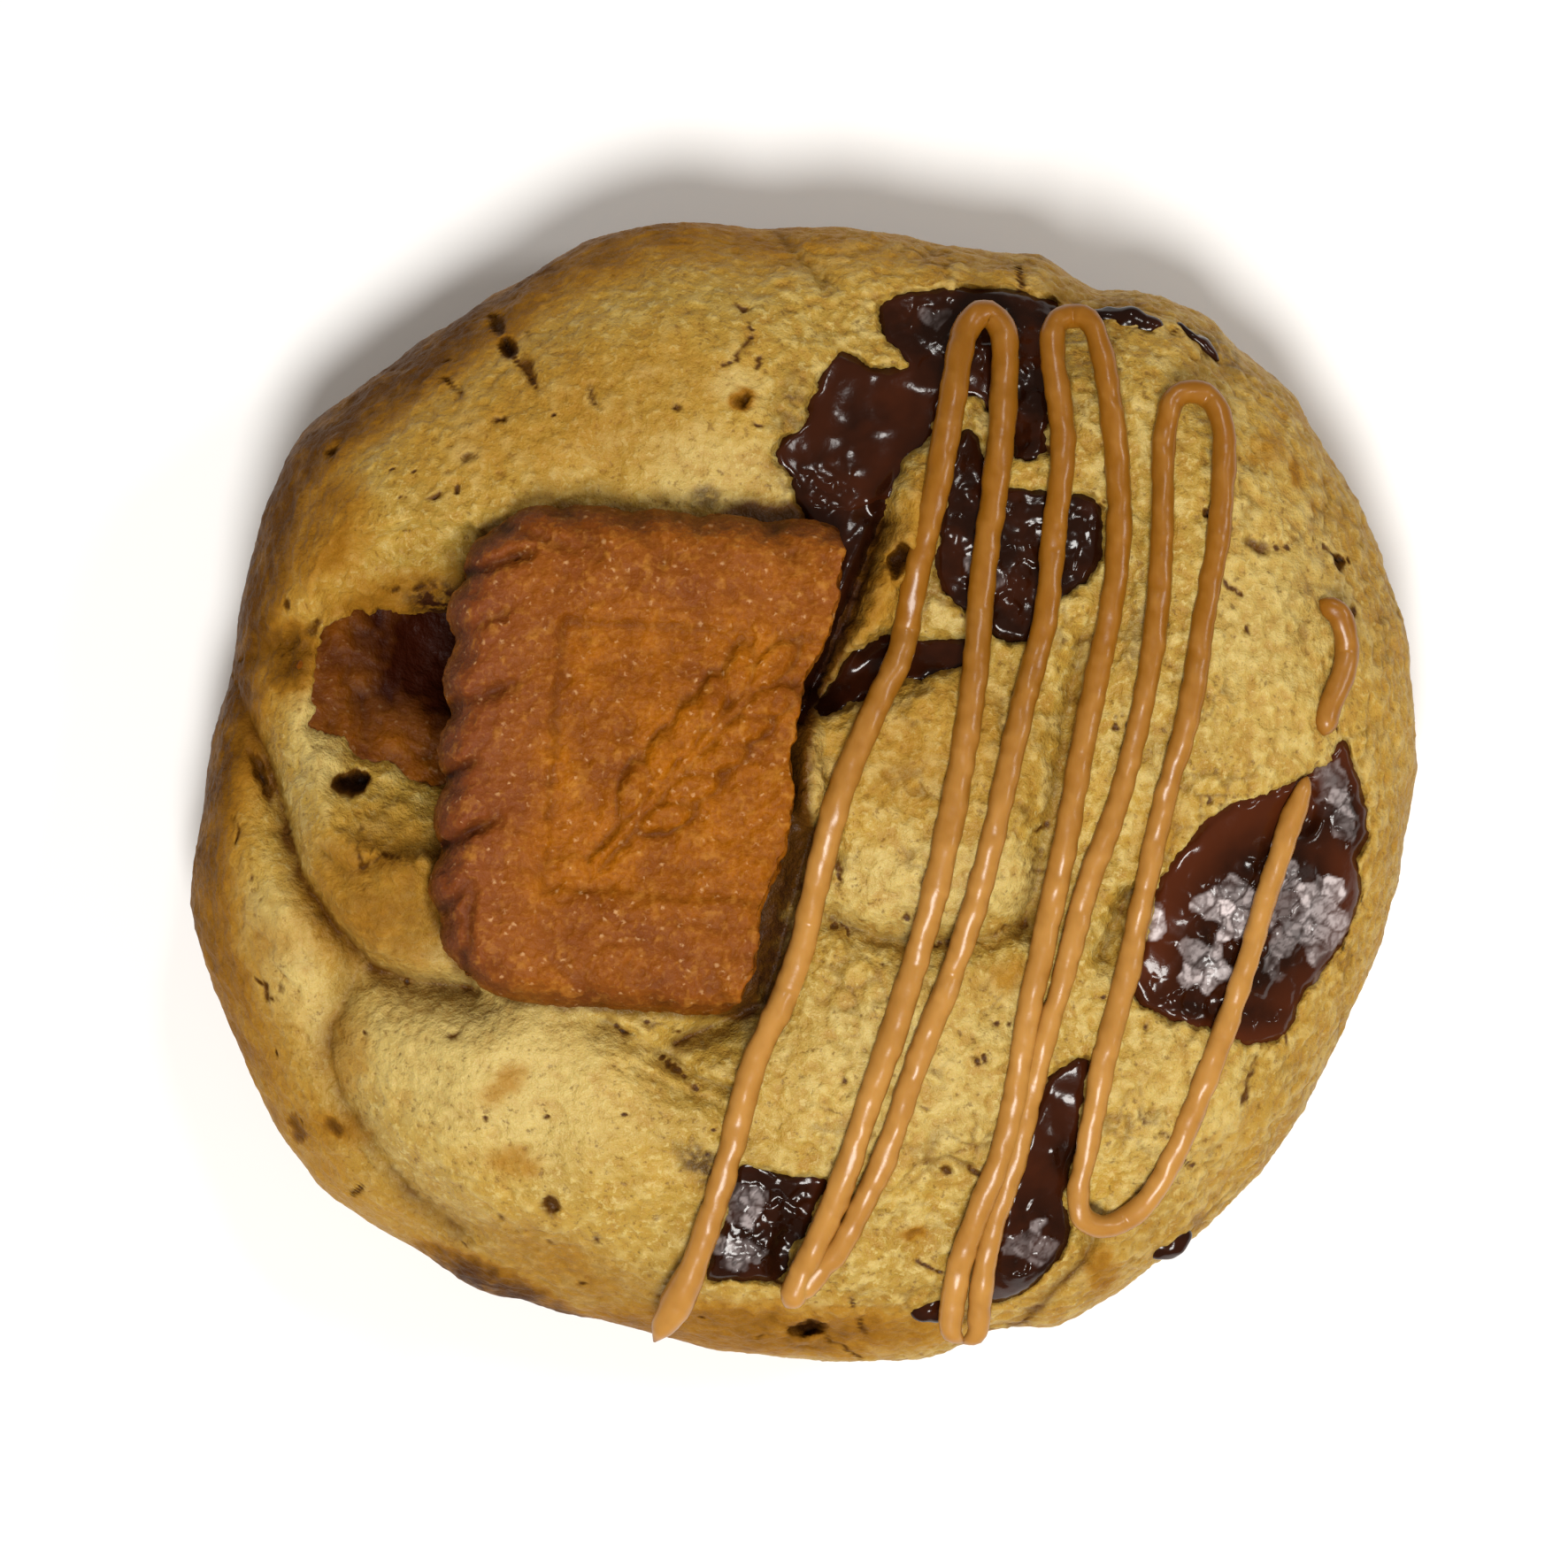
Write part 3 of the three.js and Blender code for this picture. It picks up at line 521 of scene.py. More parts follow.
def add(material, kind, inputs, output=0, **settings):
    """Adds a shader node, with its settings and its inputs as values or links, and gives an output."""
    made = material.node_tree.nodes.new("ShaderNode" + kind)
    for name, value in settings.items():
        setattr(made, name, value)
    for name, value in inputs.items():
        if isinstance(value, bpy.types.NodeSocket):
            material.node_tree.links.new(value, made.inputs[name])
        else:
            made.inputs[name].default_value = value
    return made.outputs[output]


def new_material(name):
    material = bpy.data.materials.new(name)
    material.use_nodes = True
    material.node_tree.nodes.clear()
    return material


def finish_material(material, surface):
    output = material.node_tree.nodes.new("ShaderNodeOutputMaterial")
    material.node_tree.links.new(surface, output.inputs["Surface"])


# Share and height along half the cookie's section: over the dome, down the side, in along the base
LOWER_DEPTH = WIDEST_HEIGHT / math.sqrt(1 - (1 - BASE_INSET / MEAN_RADIUS) ** 2)
DOME_STEPS = 500
SIDE_STEPS = 80
BASE_STEPS = 100
dome_share = np.sin(np.linspace(0, math.pi / 2, DOME_STEPS)) ** 0.6
side_drop = np.linspace(0, WIDEST_HEIGHT, SIDE_STEPS)[1:]
side_share = np.sqrt(1 - (side_drop / LOWER_DEPTH) ** 2)
base_share = np.linspace(side_share[-1], 0, BASE_STEPS)[1:]
section_share = np.concatenate([dome_share, side_share, base_share])
section_height = np.concatenate([dome_height(dome_share), WIDEST_HEIGHT - side_drop, 0 * base_share])

# Every stretch of the section gets mesh by its area, and the hidden base far less
BASE_DENSITY = 0.06
stretch = np.hypot(np.diff(section_share) * MEAN_RADIUS, np.diff(section_height))
stretch *= (section_share[1:] + section_share[:-1]) / 2
stretch[len(dome_share) + len(side_drop) - 1:] *= BASE_DENSITY
section_area = np.concatenate([[0], np.cumsum(stretch)]) / stretch.sum()

BALL_SUBDIVISIONS = 8
ball = bmesh.new()
bmesh.ops.create_icosphere(ball, subdivisions=BALL_SUBDIVISIONS, radius=1)
dough = bpy.data.meshes.new("dough_crumb")
ball.to_mesh(dough)
ball.free()
direction = points_of(dough)
angle = np.arctan2(direction[:, 1], direction[:, 0])
walk = (1 - np.clip(direction[:, 2], -1, 1)) / 2
share = np.interp(walk, section_area, section_share)
height = np.interp(walk, section_area, section_height)
upper = walk <= section_area[len(dome_share) - 1]
rim = outline_radius(np.degrees(angle))
around = flat(np.cos(angle) * MEAN_RADIUS, np.sin(angle) * MEAN_RADIUS, height)
bulge = 0.4 * unevenness(around, 8, 1) + 0.25 * unevenness(around, 3.5, 2) - 0.15
radius = (rim + bulge * smooth_step((share - 0.85) / 0.15) * smooth_step(height / 3)) * share
x = radius * np.cos(angle)
y = radius * np.sin(angle)

# The top's own height, then what lies in it: pools, biscuits, holes
lower_share = RIM_RELIEF * smooth_step(height / 6)
surface = height + relief(x, y) * np.where(upper, relief_share(share), lower_share)
POOL_DENT = 1.7
edge_wobble = 0.35 * unevenness(flat(x, y), 1.6, 3) + 0.2 * unevenness(flat(x, y), 0.7, 4)
smear = np.zeros(len(x))
dent = np.zeros(len(x))
for outline in (*POOLS.values(), CLEFT_FILM):
    inside = depth_inside(smooth_outline(outline), x, y) + edge_wobble
    dent = np.maximum(dent, smooth_step((inside + 0.35) / 0.9))
    smear = np.maximum(smear, 0.5 * smooth_step((inside + 0.4) / 0.7))
surface -= POOL_DENT * dent * upper

# Dough closes round each biscuit and stays hidden under it: how far under its face the dough ends
# at its edge and under its middle, how far it laps over the edge, how ragged that is, and how steeply
# the dough rises beside it
for kept, at, turn, edge_level, middle_level, lap, ragged, wall_slope in (
        (HALF_BISCUIT_KEPT, HALF_BISCUIT_AT, HALF_BISCUIT_TURN, 3.2, 4.5, 0, 0.8, 3),
        (SUNK_BISCUIT_KEPT, SUNK_BISCUIT_AT, SUNK_BISCUIT_TURN, -0.3, 3.8, 0.8, 1.3, 0.8)):
    inside = depth_inside(in_cookie_frame(kept, at, turn), x, y, 6) - lap + ragged * edge_wobble
    face = plane_height(x, y, at, turn)
    if lap:
        lip = face + 0.35 + 0.5 * edge_wobble
        near_edge = smooth_step((1.9 - np.abs(inside)) / 1.3) * upper
        surface += near_edge * np.maximum(lip - surface, 0)
    else:
        contact_shade = smooth_step(1 + inside / (0.6 + 1.2 * smooth_step((x + 6) / 3)))
    level = edge_level + (middle_level - edge_level) * smooth_step((inside + 0.1) / 1.1)
    seat = face - level + wall_slope * np.maximum(-inside, 0)
    surface = np.where(upper & (inside > -5), np.minimum(surface, seat), surface)

# Every hole, crack, stain and painted patch of shade gets a frayed edge, because it is read at a place that
# wobbles
fray = 0.16 * unevenness(flat(x, y), 0.5, 40)
wobbled = (x + 0.3 * unevenness(flat(x, y), 0.9, 5) + fray,
           y + 0.3 * unevenness(flat(x, y), 0.9, 6) - fray)
hole = strongest(HOLES, *wobbled)

# Fine cracks in strings: those that stand out, and others that wander at random over the top
WANDERING_CRACKS = 45
CRACK_STEP = 0.8
CRACK_MARGIN = 0.8
top_points = np.flatnonzero(upper & (share < 0.97))
crack_lines = list(CRACK_LINES)
for _ in range(WANDERING_CRACKS):
    start = random.choice(top_points)
    heading = random.uniform(0, 2 * math.pi)
    line = [(x[start], y[start])]
    for _ in range(random.integers(1, 5)):
        heading += random.normal(0, 0.7)
        last_x, last_y = line[-1]
        line.append((last_x + CRACK_STEP * math.cos(heading), last_y + CRACK_STEP * math.sin(heading)))
    crack_lines.append(line)
crack = np.zeros(len(x))
crack_gaps = smooth_step(0.6 + 1.8 * unevenness(flat(x, y), 1.5, 7))
for line in crack_lines:
    low, high = np.min(line, 0) - CRACK_MARGIN, np.max(line, 0) + CRACK_MARGIN
    near = np.flatnonzero((x > low[0]) & (x < high[0]) & (y > low[1]) & (y < high[1]) & upper)
    width = random.uniform(0.08, 0.15)
    found = np.exp(-((distance_to_line(line, wobbled[0][near], wobbled[1][near]) / width) ** 2))
    crack[near] = np.maximum(crack[near], random.uniform(0.25, 0.5) * found * crack_gaps[near])

# Small torn pits scattered over the top
PITS = 90
for start in random.choice(top_points, PITS):
    reach = random.uniform(0.08, 0.2)
    near = np.flatnonzero((np.abs(x - x[start]) < 1) & (np.abs(y - y[start]) < 1) & upper)
    pit = swelling(wobbled[0][near], wobbled[1][near], (wobbled[0][start], wobbled[1][start]),
                   (reach * random.uniform(1, 2.5), reach), random.uniform(0, 180))
    crack[near] = np.maximum(crack[near], random.uniform(0.15, 0.45) * pit)

surface -= hole + crack * (1 - dent)
surface[~upper & (height <= 0)] = 0
set_points(dough, flat(x, y, surface))

# Crumb: the baked surface is grainy at several sizes and breaks up in small flakes, all but the flat
# base. It is coarser on the right of the top and smoother where the side turns under
points = points_of(dough)
crust_share = smooth_step(height / 1.5)
lumpy = unevenness(points, 2.6, 8)
grainy = unevenness(points, 1.1, 9)
sandy = unevenness(points, 0.55, 10)
bent = points + 0.5 * np.column_stack([grainy, unevenness(points, 1.1, 11), lumpy])
flake, flake_tone, flake_inner, _ = facets(bent, 1.7, 0.2, 1)
small_flake, small_tone, _, _ = facets(bent, 0.7, 0.4, 2)
crumbly = smooth_step((x + 6) / 8)
fissure = (1 - flake_inner) * (0.25 + 0.75 * crumbly) * smooth_step(0.1 + 1.6 * unevenness(points, 3.5, 12))
grain = 0.12 * lumpy + 0.13 * grainy + 0.15 * sandy + 0.06 * flake + 0.11 * small_flake
grain = (0.8 + 0.35 * crumbly) * grain - 0.14 * fissure
grain *= 1 - 0.6 * np.exp(-(((height - WIDEST_HEIGHT) / 3) ** 2))
points += normals_of(dough) * (grain * crust_share * (1 - 0.5 * dent * upper))[:, None]
points[:, 2] = np.maximum(points[:, 2], 0)
set_points(dough, points * MM)

# The crust is browner at the rim and brownest low down beside the hot tray; the rim is painted darker
# still towards one side, as painted shade
SHADED_SIDE = math.radians(150)
LOW_TOAST = 0.95
toward_shaded_side = 0.5 + 0.5 * np.cos(angle - SHADED_SIDE)
rim_toast_and_shade = (0.2 + 0.9 * toward_shaded_side ** 4) * np.where(upper, smooth_step((share - 0.83) / 0.14), 1)
toast_and_shade = np.maximum(strongest(TOASTED_AND_SHADED, *wobbled), rim_toast_and_shade)
near_tray = smooth_step((WIDEST_HEIGHT - 1.5 - height + 1.5 * lumpy) / 6)
toast_and_shade += (LOW_TOAST - toast_and_shade) * near_tray * ~upper

# Painted shade: the crumb is darker deep in folds, holes, cracks and flake borders, and painted shadow lies
# close round the half biscuit, most on its right
contact_shade *= 0.25 + 0.45 * smooth_step((x + 6) / 3)
fold_shade = (0.12 + 0.07 * grainy + 0.07 * lumpy) * fold_depth(x, y, 0.45)
paint(dough, "painted_shade", upper * (fold_shade + 0.7 * hole + 1.6 * crack + contact_shade) + 0.18 * fissure)
# Chocolate smears, with painted shade and shadow in the same colour
paint(dough, "stain_and_shade", np.maximum(smear, strongest(STAINS_AND_SHADE, *wobbled)) * upper)
paint(dough, "toast_and_shade", toast_and_shade)
paint(dough, "pale", strongest(PALER, *wobbled) * upper)
# Tone differs at random from flake to flake, and is lighter where the grain stands up, as painted light
tone = 0.2 * flake_tone + 0.45 * small_tone - 0.32 + 0.3 * sandy + 0.25 * grainy
paint(dough, "tone", 0.5 + tone * (0.9 + 0.65 * crumbly))

# Baked cookie crumb: moist and a little translucent, a mosaic of golden and paler flakes that turns
# amber and then brown where it stood in the hot air. Its pale flecks are painted glints of sugar grains
# and its dark flecks painted shade in open pores
DOUGH_GOLD = "#ba963f"
DOUGH_PALE = "#cdb56f"
DOUGH_OLIVE = "#a98736"
DOUGH_AMBER = "#a2701f"
DOUGH_BROWN = "#5f3a08"
DOUGH_DEEP_SHADE = "#2e1704"
DOUGH_STAIN_AND_SHADE = "#35190d"

# Sizes of its patterns: patches of the crust, drifts within them, smudges of chocolate and painted shade,
# flecks of painted sugar glints and pore shade, and flour grain, which is too fine to show and so is
# drawn at 0.3 mm
CRUST_PATCH = 8
CRUST_DRIFT = 2.6
SMUDGE_SIZE = 0.7
FLECK_SIZE = 0.55
FLOUR_GRAIN = 0.3
crumb = new_material("baked_cookie_crumb")
place = add(crumb, "TexCoord", {}, "Object")
patches, drifts, smudges, fleck, speck = (
    add(crumb, "TexNoise", {"Vector": place, "Scale": 1 / (size * MM), "Detail": detail, "Roughness": rough})
    for size, detail, rough in ((CRUST_PATCH, 4, 0.6), (CRUST_DRIFT, 5, 0.65), (SMUDGE_SIZE, 4, 0.5),
                                (FLECK_SIZE, 3, 0.65), (FLOUR_GRAIN, 2, 0.5)))
pale_amount, tone, toast_and_shade_amount, painted_shade_amount, stain_and_shade_amount = (
    add(crumb, "Attribute", {}, "Fac", attribute_name=name)
    for name in ("pale", "tone", "toast_and_shade", "painted_shade", "stain_and_shade"))
patch_share = add(crumb, "MapRange", {"Value": patches, "From Min": 0.38, "From Max": 0.62})
pale_share = add(crumb, "MapRange", {"Value": tone, "From Min": 0.52, "From Max": 0.9, "To Max": 0.7})
amber_share = add(crumb, "MapRange", {"Value": tone, "From Min": 0.48, "From Max": 0.1, "To Max": 0.45})
# Painted shade in pores and painted glints of sugar grains, both as flecks
pore_shade_share = add(crumb, "MapRange", {"Value": fleck, "From Min": 0.42, "From Max": 0.3, "To Max": 0.6})
sugar_glint_share = add(crumb, "MapRange", {"Value": fleck, "From Min": 0.56, "From Max": 0.66, "To Max": 0.75})
toast_noise = add(crumb, "MapRange", {
    "Value": drifts, "From Min": 0.3, "From Max": 0.65, "To Min": 0.7, "To Max": 1.2})
toast_and_shade_share = add(crumb, "Math", {0: toast_and_shade_amount, 1: toast_noise}, operation="MULTIPLY")
amber_amount = add(crumb, "MapRange", {"Value": toast_and_shade_share, "From Max": 0.6})
brown_amount = add(crumb, "MapRange", {"Value": toast_and_shade_share, "From Min": 0.45, "From Max": 1.0})
# Painted shade: warm brown where the shade is shallow, near black where it is deep
warm_shade_amount = add(crumb, "MapRange", {"Value": painted_shade_amount, "From Max": 0.35})
deep_shade_amount = add(crumb, "MapRange", {"Value": painted_shade_amount, "From Min": 0.35})
stain_noise = add(crumb, "MapRange", {"Value": smudges, "From Min": 0.35, "From Max": 0.55, "To Min": 0.2})
stain_and_shade_share = add(crumb, "Math", {0: stain_and_shade_amount, 1: stain_noise}, operation="MULTIPLY")
colour = linear(DOUGH_OLIVE)
for share, next_colour in (
        (patch_share, DOUGH_GOLD), (pale_amount, DOUGH_PALE), (pale_share, DOUGH_PALE),
        (amber_share, DOUGH_AMBER), (pore_shade_share, DOUGH_BROWN), (sugar_glint_share, DOUGH_PALE),
        (amber_amount, DOUGH_AMBER), (brown_amount, DOUGH_BROWN), (warm_shade_amount, DOUGH_BROWN),
        (deep_shade_amount, DOUGH_DEEP_SHADE), (stain_and_shade_share, DOUGH_STAIN_AND_SHADE)):
    colour = add(crumb, "Mix", {"Factor": share, 6: colour, 7: linear(next_colour)}, 2, data_type="RGBA")
gloss = add(crumb, "MapRange", {"Value": toast_and_shade_amount, "From Max": 0.5, "To Min": 0.28, "To Max": 0.06})
fine = add(crumb, "Bump", {"Height": speck, "Strength": 0.5, "Distance": 0.1 * MM})
crisp = add(crumb, "Bump", {"Height": fleck, "Strength": 0.8, "Distance": 0.28 * MM, "Normal": fine})
coarse = add(crumb, "Bump", {"Height": drifts, "Strength": 0.3, "Distance": 0.35 * MM, "Normal": crisp})
finish_material(crumb, add(crumb, "BsdfPrincipled", {
    "Base Color": colour, "Roughness": 0.45, "IOR": 1.45, "Specular IOR Level": gloss, "Normal": coarse,
    "Subsurface Weight": 0.22, "Subsurface Radius": (1.4, 0.9, 0.35), "Subsurface Scale": 1.0 * MM,
}))
make_piece("dough_crumb", dough, crumb, "dough", "dough")

# ---------------------------------------------------------------------------------------------
# The chocolate
# Chunks of dark chocolate that melted in the oven, ran together into pools and set again. The
# skin wrinkled where it cooled last, and stayed smooth and glossy where the chocolate was deep.
# ---------------------------------------------------------------------------------------------
POOL_THICKNESS = 3.2
POOL_REACH = 0.9
POOL_MARGIN = 1.5
POOL_STEP = 0.13

# How far each pool's face stands over the dough's level, the size and height of the creases in its
# skin, and how far the brown of its thin border shows
POOL_FACES = {
    "chocolate_upper": (-0.45, 1.4, 0.18, 0.4),
    "chocolate_middle": (-0.35, 1.3, 0.17, 0.2),
    "chocolate_under_ridge": (-0.6, 1.4, 0.16, 0.2),
    "chocolate_right": (-0.3, 1.35, 0.36, 1.0),
    "chocolate_lower_right": (-0.4, 1.3, 0.26, 0.4),
    "chocolate_lower": (-0.4, 1.1, 0.28, 0.4),
    "cleft_film": (-0.5, 1.3, 0.2, 0.1),
}

# Where the skin is creased: middle, half sizes, turn
CREASED = [
    ((29.4, -8.6), (5.0, 4.6), 60),
    ((34.6, -1), (1.3, 3), 20),
    ((26, -13.4), (5, 1.4), -10),
    ((11, 29.8), (7, 2.8), 0),
    ((14.2, 25), (2.2, 5), 0),
    ((0.8, 19.2), (2.6, 1.8), 0),
    ((13.8, 15.5), (6, 8), 0),
    ((14.4, -29), (3, 3.4), 20),
    ((16.6, -23.2), (0.9, 1.2), 0),
    ((-3, -27.5), (5, 5), 0),
    ((4, 12), (2, 9), -25),
]

# Shelves and hollows of the pools: middle, half sizes, turn, rise
SHELVES = [
    ((26.0, -1.9), (6.4, 2.3), 26, 0.5),
    ((32.1, -1.2), (1.0, 1.7), -10, -1.1),
    ((-1.0, -29.4), (1.0, 1.7), -15, -1.0),
    ((15.6, -21.8), (2.2, 3.2), 70, 0.3),
]


def slab_mesh(name, top, bottom, present):
    """A closed sheet over the cells of a grid that are present, between two sets of points.

    Gives the mesh and which of the points it uses, numbered through the top and then the bottom.
    """
    rows, columns = present.shape
    number = np.arange((rows + 1) * (columns + 1)).reshape(rows + 1, columns + 1)
    corners = np.stack([number[:-1, :-1], number[1:, :-1], number[1:, 1:], number[:-1, 1:]], -1)
    faces = corners[present]
    count = number.size
    padded = np.pad(present, 1)
    sides = []
    corners_toward = {(0, -1): (0, 1), (1, 0): (1, 2), (0, 1): (2, 3), (-1, 0): (3, 0)}
    for shift, (first, second) in corners_toward.items():
        neighbour = np.roll(padded, (-shift[0], -shift[1]), (0, 1))[1:-1, 1:-1]
        edge = corners[present & ~neighbour]
        a, b = edge[:, first], edge[:, second]
        sides.append(np.stack([b, a, a + count, b + count], -1))
    faces = np.vstack([faces, faces[:, ::-1] + count, *sides])
    used, faces = np.unique(faces, return_inverse=True)
    points = np.vstack([top, bottom])[used]
    mesh = bpy.data.meshes.new(name)
    mesh.from_pydata((points * MM).tolist(), [], faces.reshape(-1, 4).tolist())
    return mesh, used


# Dark chocolate: cocoa butter makes it glossy and nearly black, and a thin skin dries greyer. The grey of
# the crinkled skin is also a painted sheen, the reflection of a soft light on its facets
CHOCOLATE_DARK = "#1e0b04"
CHOCOLATE_THIN = "#4a200d"
CHOCOLATE_BLOOM_SHEEN = "#dccfcf"

# Sizes of its patterns: clouds of thinner chocolate and dimples of the skin
CLOUD_SIZE = 3
DIMPLE_SIZE = 0.5
chocolate = new_material("melted_dark_chocolate")
place = add(chocolate, "TexCoord", {}, "Object")
clouds = add(chocolate, "TexNoise", {"Vector": place, "Scale": 1 / (CLOUD_SIZE * MM), "Detail": 3})
skin = add(chocolate, "TexNoise", {"Vector": place, "Scale": 1 / (DIMPLE_SIZE * MM), "Detail": 4})
cloud_share = add(chocolate, "MapRange", {
    "Value": clouds, "From Min": 0.45, "From Max": 0.65, "To Max": 0.35})
border = add(chocolate, "Attribute", {}, "Fac", attribute_name="border")
bloom_sheen_amount = add(chocolate, "Attribute", {}, "Fac", attribute_name="bloom_sheen")
bloom_sheen_noise = add(chocolate, "MapRange", {"Value": skin, "From Min": 0.35, "From Max": 0.5, "To Min": 0.6})
bloom_sheen_share = add(chocolate, "Math", {0: bloom_sheen_amount, 1: bloom_sheen_noise}, operation="MULTIPLY")
colour = linear(CHOCOLATE_DARK)
for share, next_colour in (
        (cloud_share, CHOCOLATE_THIN), (border, CHOCOLATE_THIN), (bloom_sheen_share, CHOCOLATE_BLOOM_SHEEN)):
    colour = add(chocolate, "Mix", {"Factor": share, 6: colour, 7: linear(next_colour)}, 2,
                 data_type="RGBA")
roughness = add(chocolate, "MapRange", {"Value": bloom_sheen_amount, "To Min": 0.15, "To Max": 0.36})
dimples = add(chocolate, "Bump", {"Height": skin, "Strength": 0.15, "Distance": 0.12 * MM})
finish_material(chocolate, add(chocolate, "BsdfPrincipled", {
    "Base Color": colour, "Roughness": roughness, "IOR": 1.47, "Specular IOR Level": 0.3, "Normal": dimples,
}))

# Grey crinkled skin, which stands a little proud and carries a painted sheen: middle, half sizes, turn,
# strength
BLOOM_RISE = 0.35
BLOOMED = [
    ((27.4, -7.4), (1.8, 2.4), 20, 1.0),
    ((32.9, -7.8), (2.0, 2.6), 15, 1.0),
    ((25.3, -11.2), (1.7, 1.7), -20, 0.95),
    ((22.8, -8.2), (0.8, 0.6), 0, 1.0),
    ((30.3, -11.0), (1.2, 1.6), 0, 0.5),
    ((31.0, -5.4), (1.0, 1.0), 0, 0.5),
    ((34.7, -1.2), (1.0, 2.6), 12, 0.85),
    ((33.6, -12.0), (0.5, 1.2), -30, 0.5),
    ((11.2, 13.6), (0.9, 1.2), 0, 0.35),
    ((15.9, 12.6), (0.8, 1.0), 0, 0.25),
    ((8.6, 30.0), (1.0, 0.8), 0, 0.2),
    ((14.6, -28.6), (1.2, 1.5), 20, 0.35),
    ((-3.8, -26.0), (1.5, 1.5), 0, 0.5),
    ((-3.9, -29.4), (1.6, 1.1), 0, 0.55),
]
for name, outline in (*POOLS.items(), ("cleft_film", CLEFT_FILM)):
    stand, size, crease_height, brown_border = POOL_FACES[name]
    smooth = smooth_outline(outline)
    low, high = smooth.min(0) - POOL_MARGIN, smooth.max(0) + POOL_MARGIN
    columns, rows = (np.arange(low[k], high[k], POOL_STEP) for k in (0, 1))
    grid_x, grid_y = np.meshgrid(columns, rows, indexing="ij")
    x, y = grid_x.ravel(), grid_y.ravel()
    inside = depth_inside(smooth, x, y) + 0.25 * unevenness(flat(x, y), 0.9, 15)
    creased = strongest([(*spot, 1) for spot in CREASED], x, y)
    shelf = np.zeros(len(x))
    for middle, half, turn, rise in SHELVES:
        shelf += rise * swelling(x, y, middle, half, turn)
    bent = flat(x + 0.35 * unevenness(flat(x, y), 0.9, 16), y + 0.35 * unevenness(flat(x, y), 0.9, 17))
    crease, skin_tone, skin_inner, skin_middle = facets(bent, size, 0.15, 3)
    small_crease, small_tone, small_inner, _ = facets(bent, size * 0.5, 0.2, 4)
    bloom_sheen = np.zeros(len(x))
    for middle, half, turn, strength in BLOOMED:
        crinkled = swelling(skin_middle[:, 0], skin_middle[:, 1], middle, half, turn)
        bloom_sheen = np.maximum(bloom_sheen, strength * smooth_step((crinkled - 0.25) / 0.2))
    skin = crease_height * (crease + 0.4 * small_crease + BLOOM_RISE * bloom_sheen)
    skin += 0.05 * unevenness(flat(x, y), 0.6, 13)
    swell = 0.3 * unevenness(flat(x, y), 2.6, 18)
    edge_drop = smooth_step((0.4 - inside) / (0.4 + POOL_REACH))
    skin *= (0.1 + 0.9 * creased) * smooth_step(inside / 1.2)
    top = top_height(x, y) + stand + shelf + swell + skin - edge_drop
    depth = (inside > -POOL_REACH).reshape(grid_x.shape)
    present = depth[:-1, :-1] & depth[1:, :-1] & depth[:-1, 1:] & depth[1:, 1:]
    under = flat(x, y, top.min() - POOL_THICKNESS)
    mesh, used = slab_mesh(name + "_set", flat(x, y, top), under, present)
    # The painted sheen is brighter on some facets than on others and fades at their edges
    bloom_sheen *= (0.25 + 0.75 * skin_tone) * (0.5 + 0.7 * small_tone)
    bloom_sheen *= (0.2 + 0.8 * skin_inner) * (0.45 + 0.55 * small_inner)
    paint(mesh, "bloom_sheen", np.tile(bloom_sheen, 2)[used])
    border = brown_border * smooth_step((3.8 - inside) / 3) * (1 - creased)
    paint(mesh, "border", np.tile(border, 2)[used])
    if name in POOLS:
        make_piece(name + "_set", mesh, chocolate, "chocolate", name)
    else:
        make_piece(name, mesh, chocolate, "chocolate")

# Chips of the same chocolate that stayed whole: middle, half sizes, turn
CHIPS = [
    ((20.9, 30.2), (2.1, 0.8), -10),
    ((25.6, 29.0), (1.5, 0.4), -42),
    ((23.9, -29.2), (1.2, 0.8), 35),
    ((8.1, -32.9), (1.1, 0.9), -20),
]
CHIP_HEIGHT = 1.6
chips = bmesh.new()
for (cx, cy), half, turn in CHIPS:
    made = bmesh.ops.create_icosphere(chips, subdivisions=4, radius=1)["verts"]
    level = top_height(np.array([cx]), np.array([cy]))[0]
    shape = (Matrix.Translation((cx, cy, level - 0.55)) @ Matrix.Rotation(math.radians(turn), 4, "Z")
             @ Matrix.Diagonal((half[0] * 1.2, half[1] * 1.2, CHIP_HEIGHT / 2, 1)))
    bmesh.ops.transform(chips, matrix=shape, verts=made)
chip_mesh = bpy.data.meshes.new("chocolate_chips")
chips.to_mesh(chip_mesh)
chips.free()
points = points_of(chip_mesh)
points += normals_of(chip_mesh) * (0.28 * unevenness(points, 1.1, 19))[:, None]
set_points(chip_mesh, points * MM)
make_piece("chocolate_chips", chip_mesh, chocolate, "chocolate")

# ---------------------------------------------------------------------------------------------
# The biscuits
# Thin spiced biscuits, moulded with a scalloped edge, a fluted border and a sunken panel, baked
# hard and snapped. One half lies pressed into the top, a broken piece of another is sunk beside it.
# ---------------------------------------------------------------------------------------------
BISCUIT_LENGTH = 50
BISCUIT_WIDTH = 31.4
BISCUIT_CORNER = 7
EDGE_STEP = 0.4
SCALLOP_PITCH = 4.3
SCALLOP_DEPTH = 0.45
SHOULDER_WIDTH = 2.2
SHOULDER_DROP = 2.6
PANEL_INSET = 7.3
PANEL_DEPTH = 0.28
FLUTE_LENGTH = 5.2
FLUTE_SLANT = 35
FLUTE_DEPTH = 0.65
FLUTE_WIDTH = 0.42
EAR_LENGTH = 18.5
EAR_ROWS = 5
EAR_PITCH = 2.4
EAR_OFFSET = 1.3
EAR_LEAN = 28
EAR_TURN = 52
EAR_AT = (-9.2, 0.5)
GRAIN_LENGTH = 3.2
GRAIN_WIDTH = 1.5
STALK_HALF_WIDTH = 0.4
BISCUIT_VOXEL = 0.17

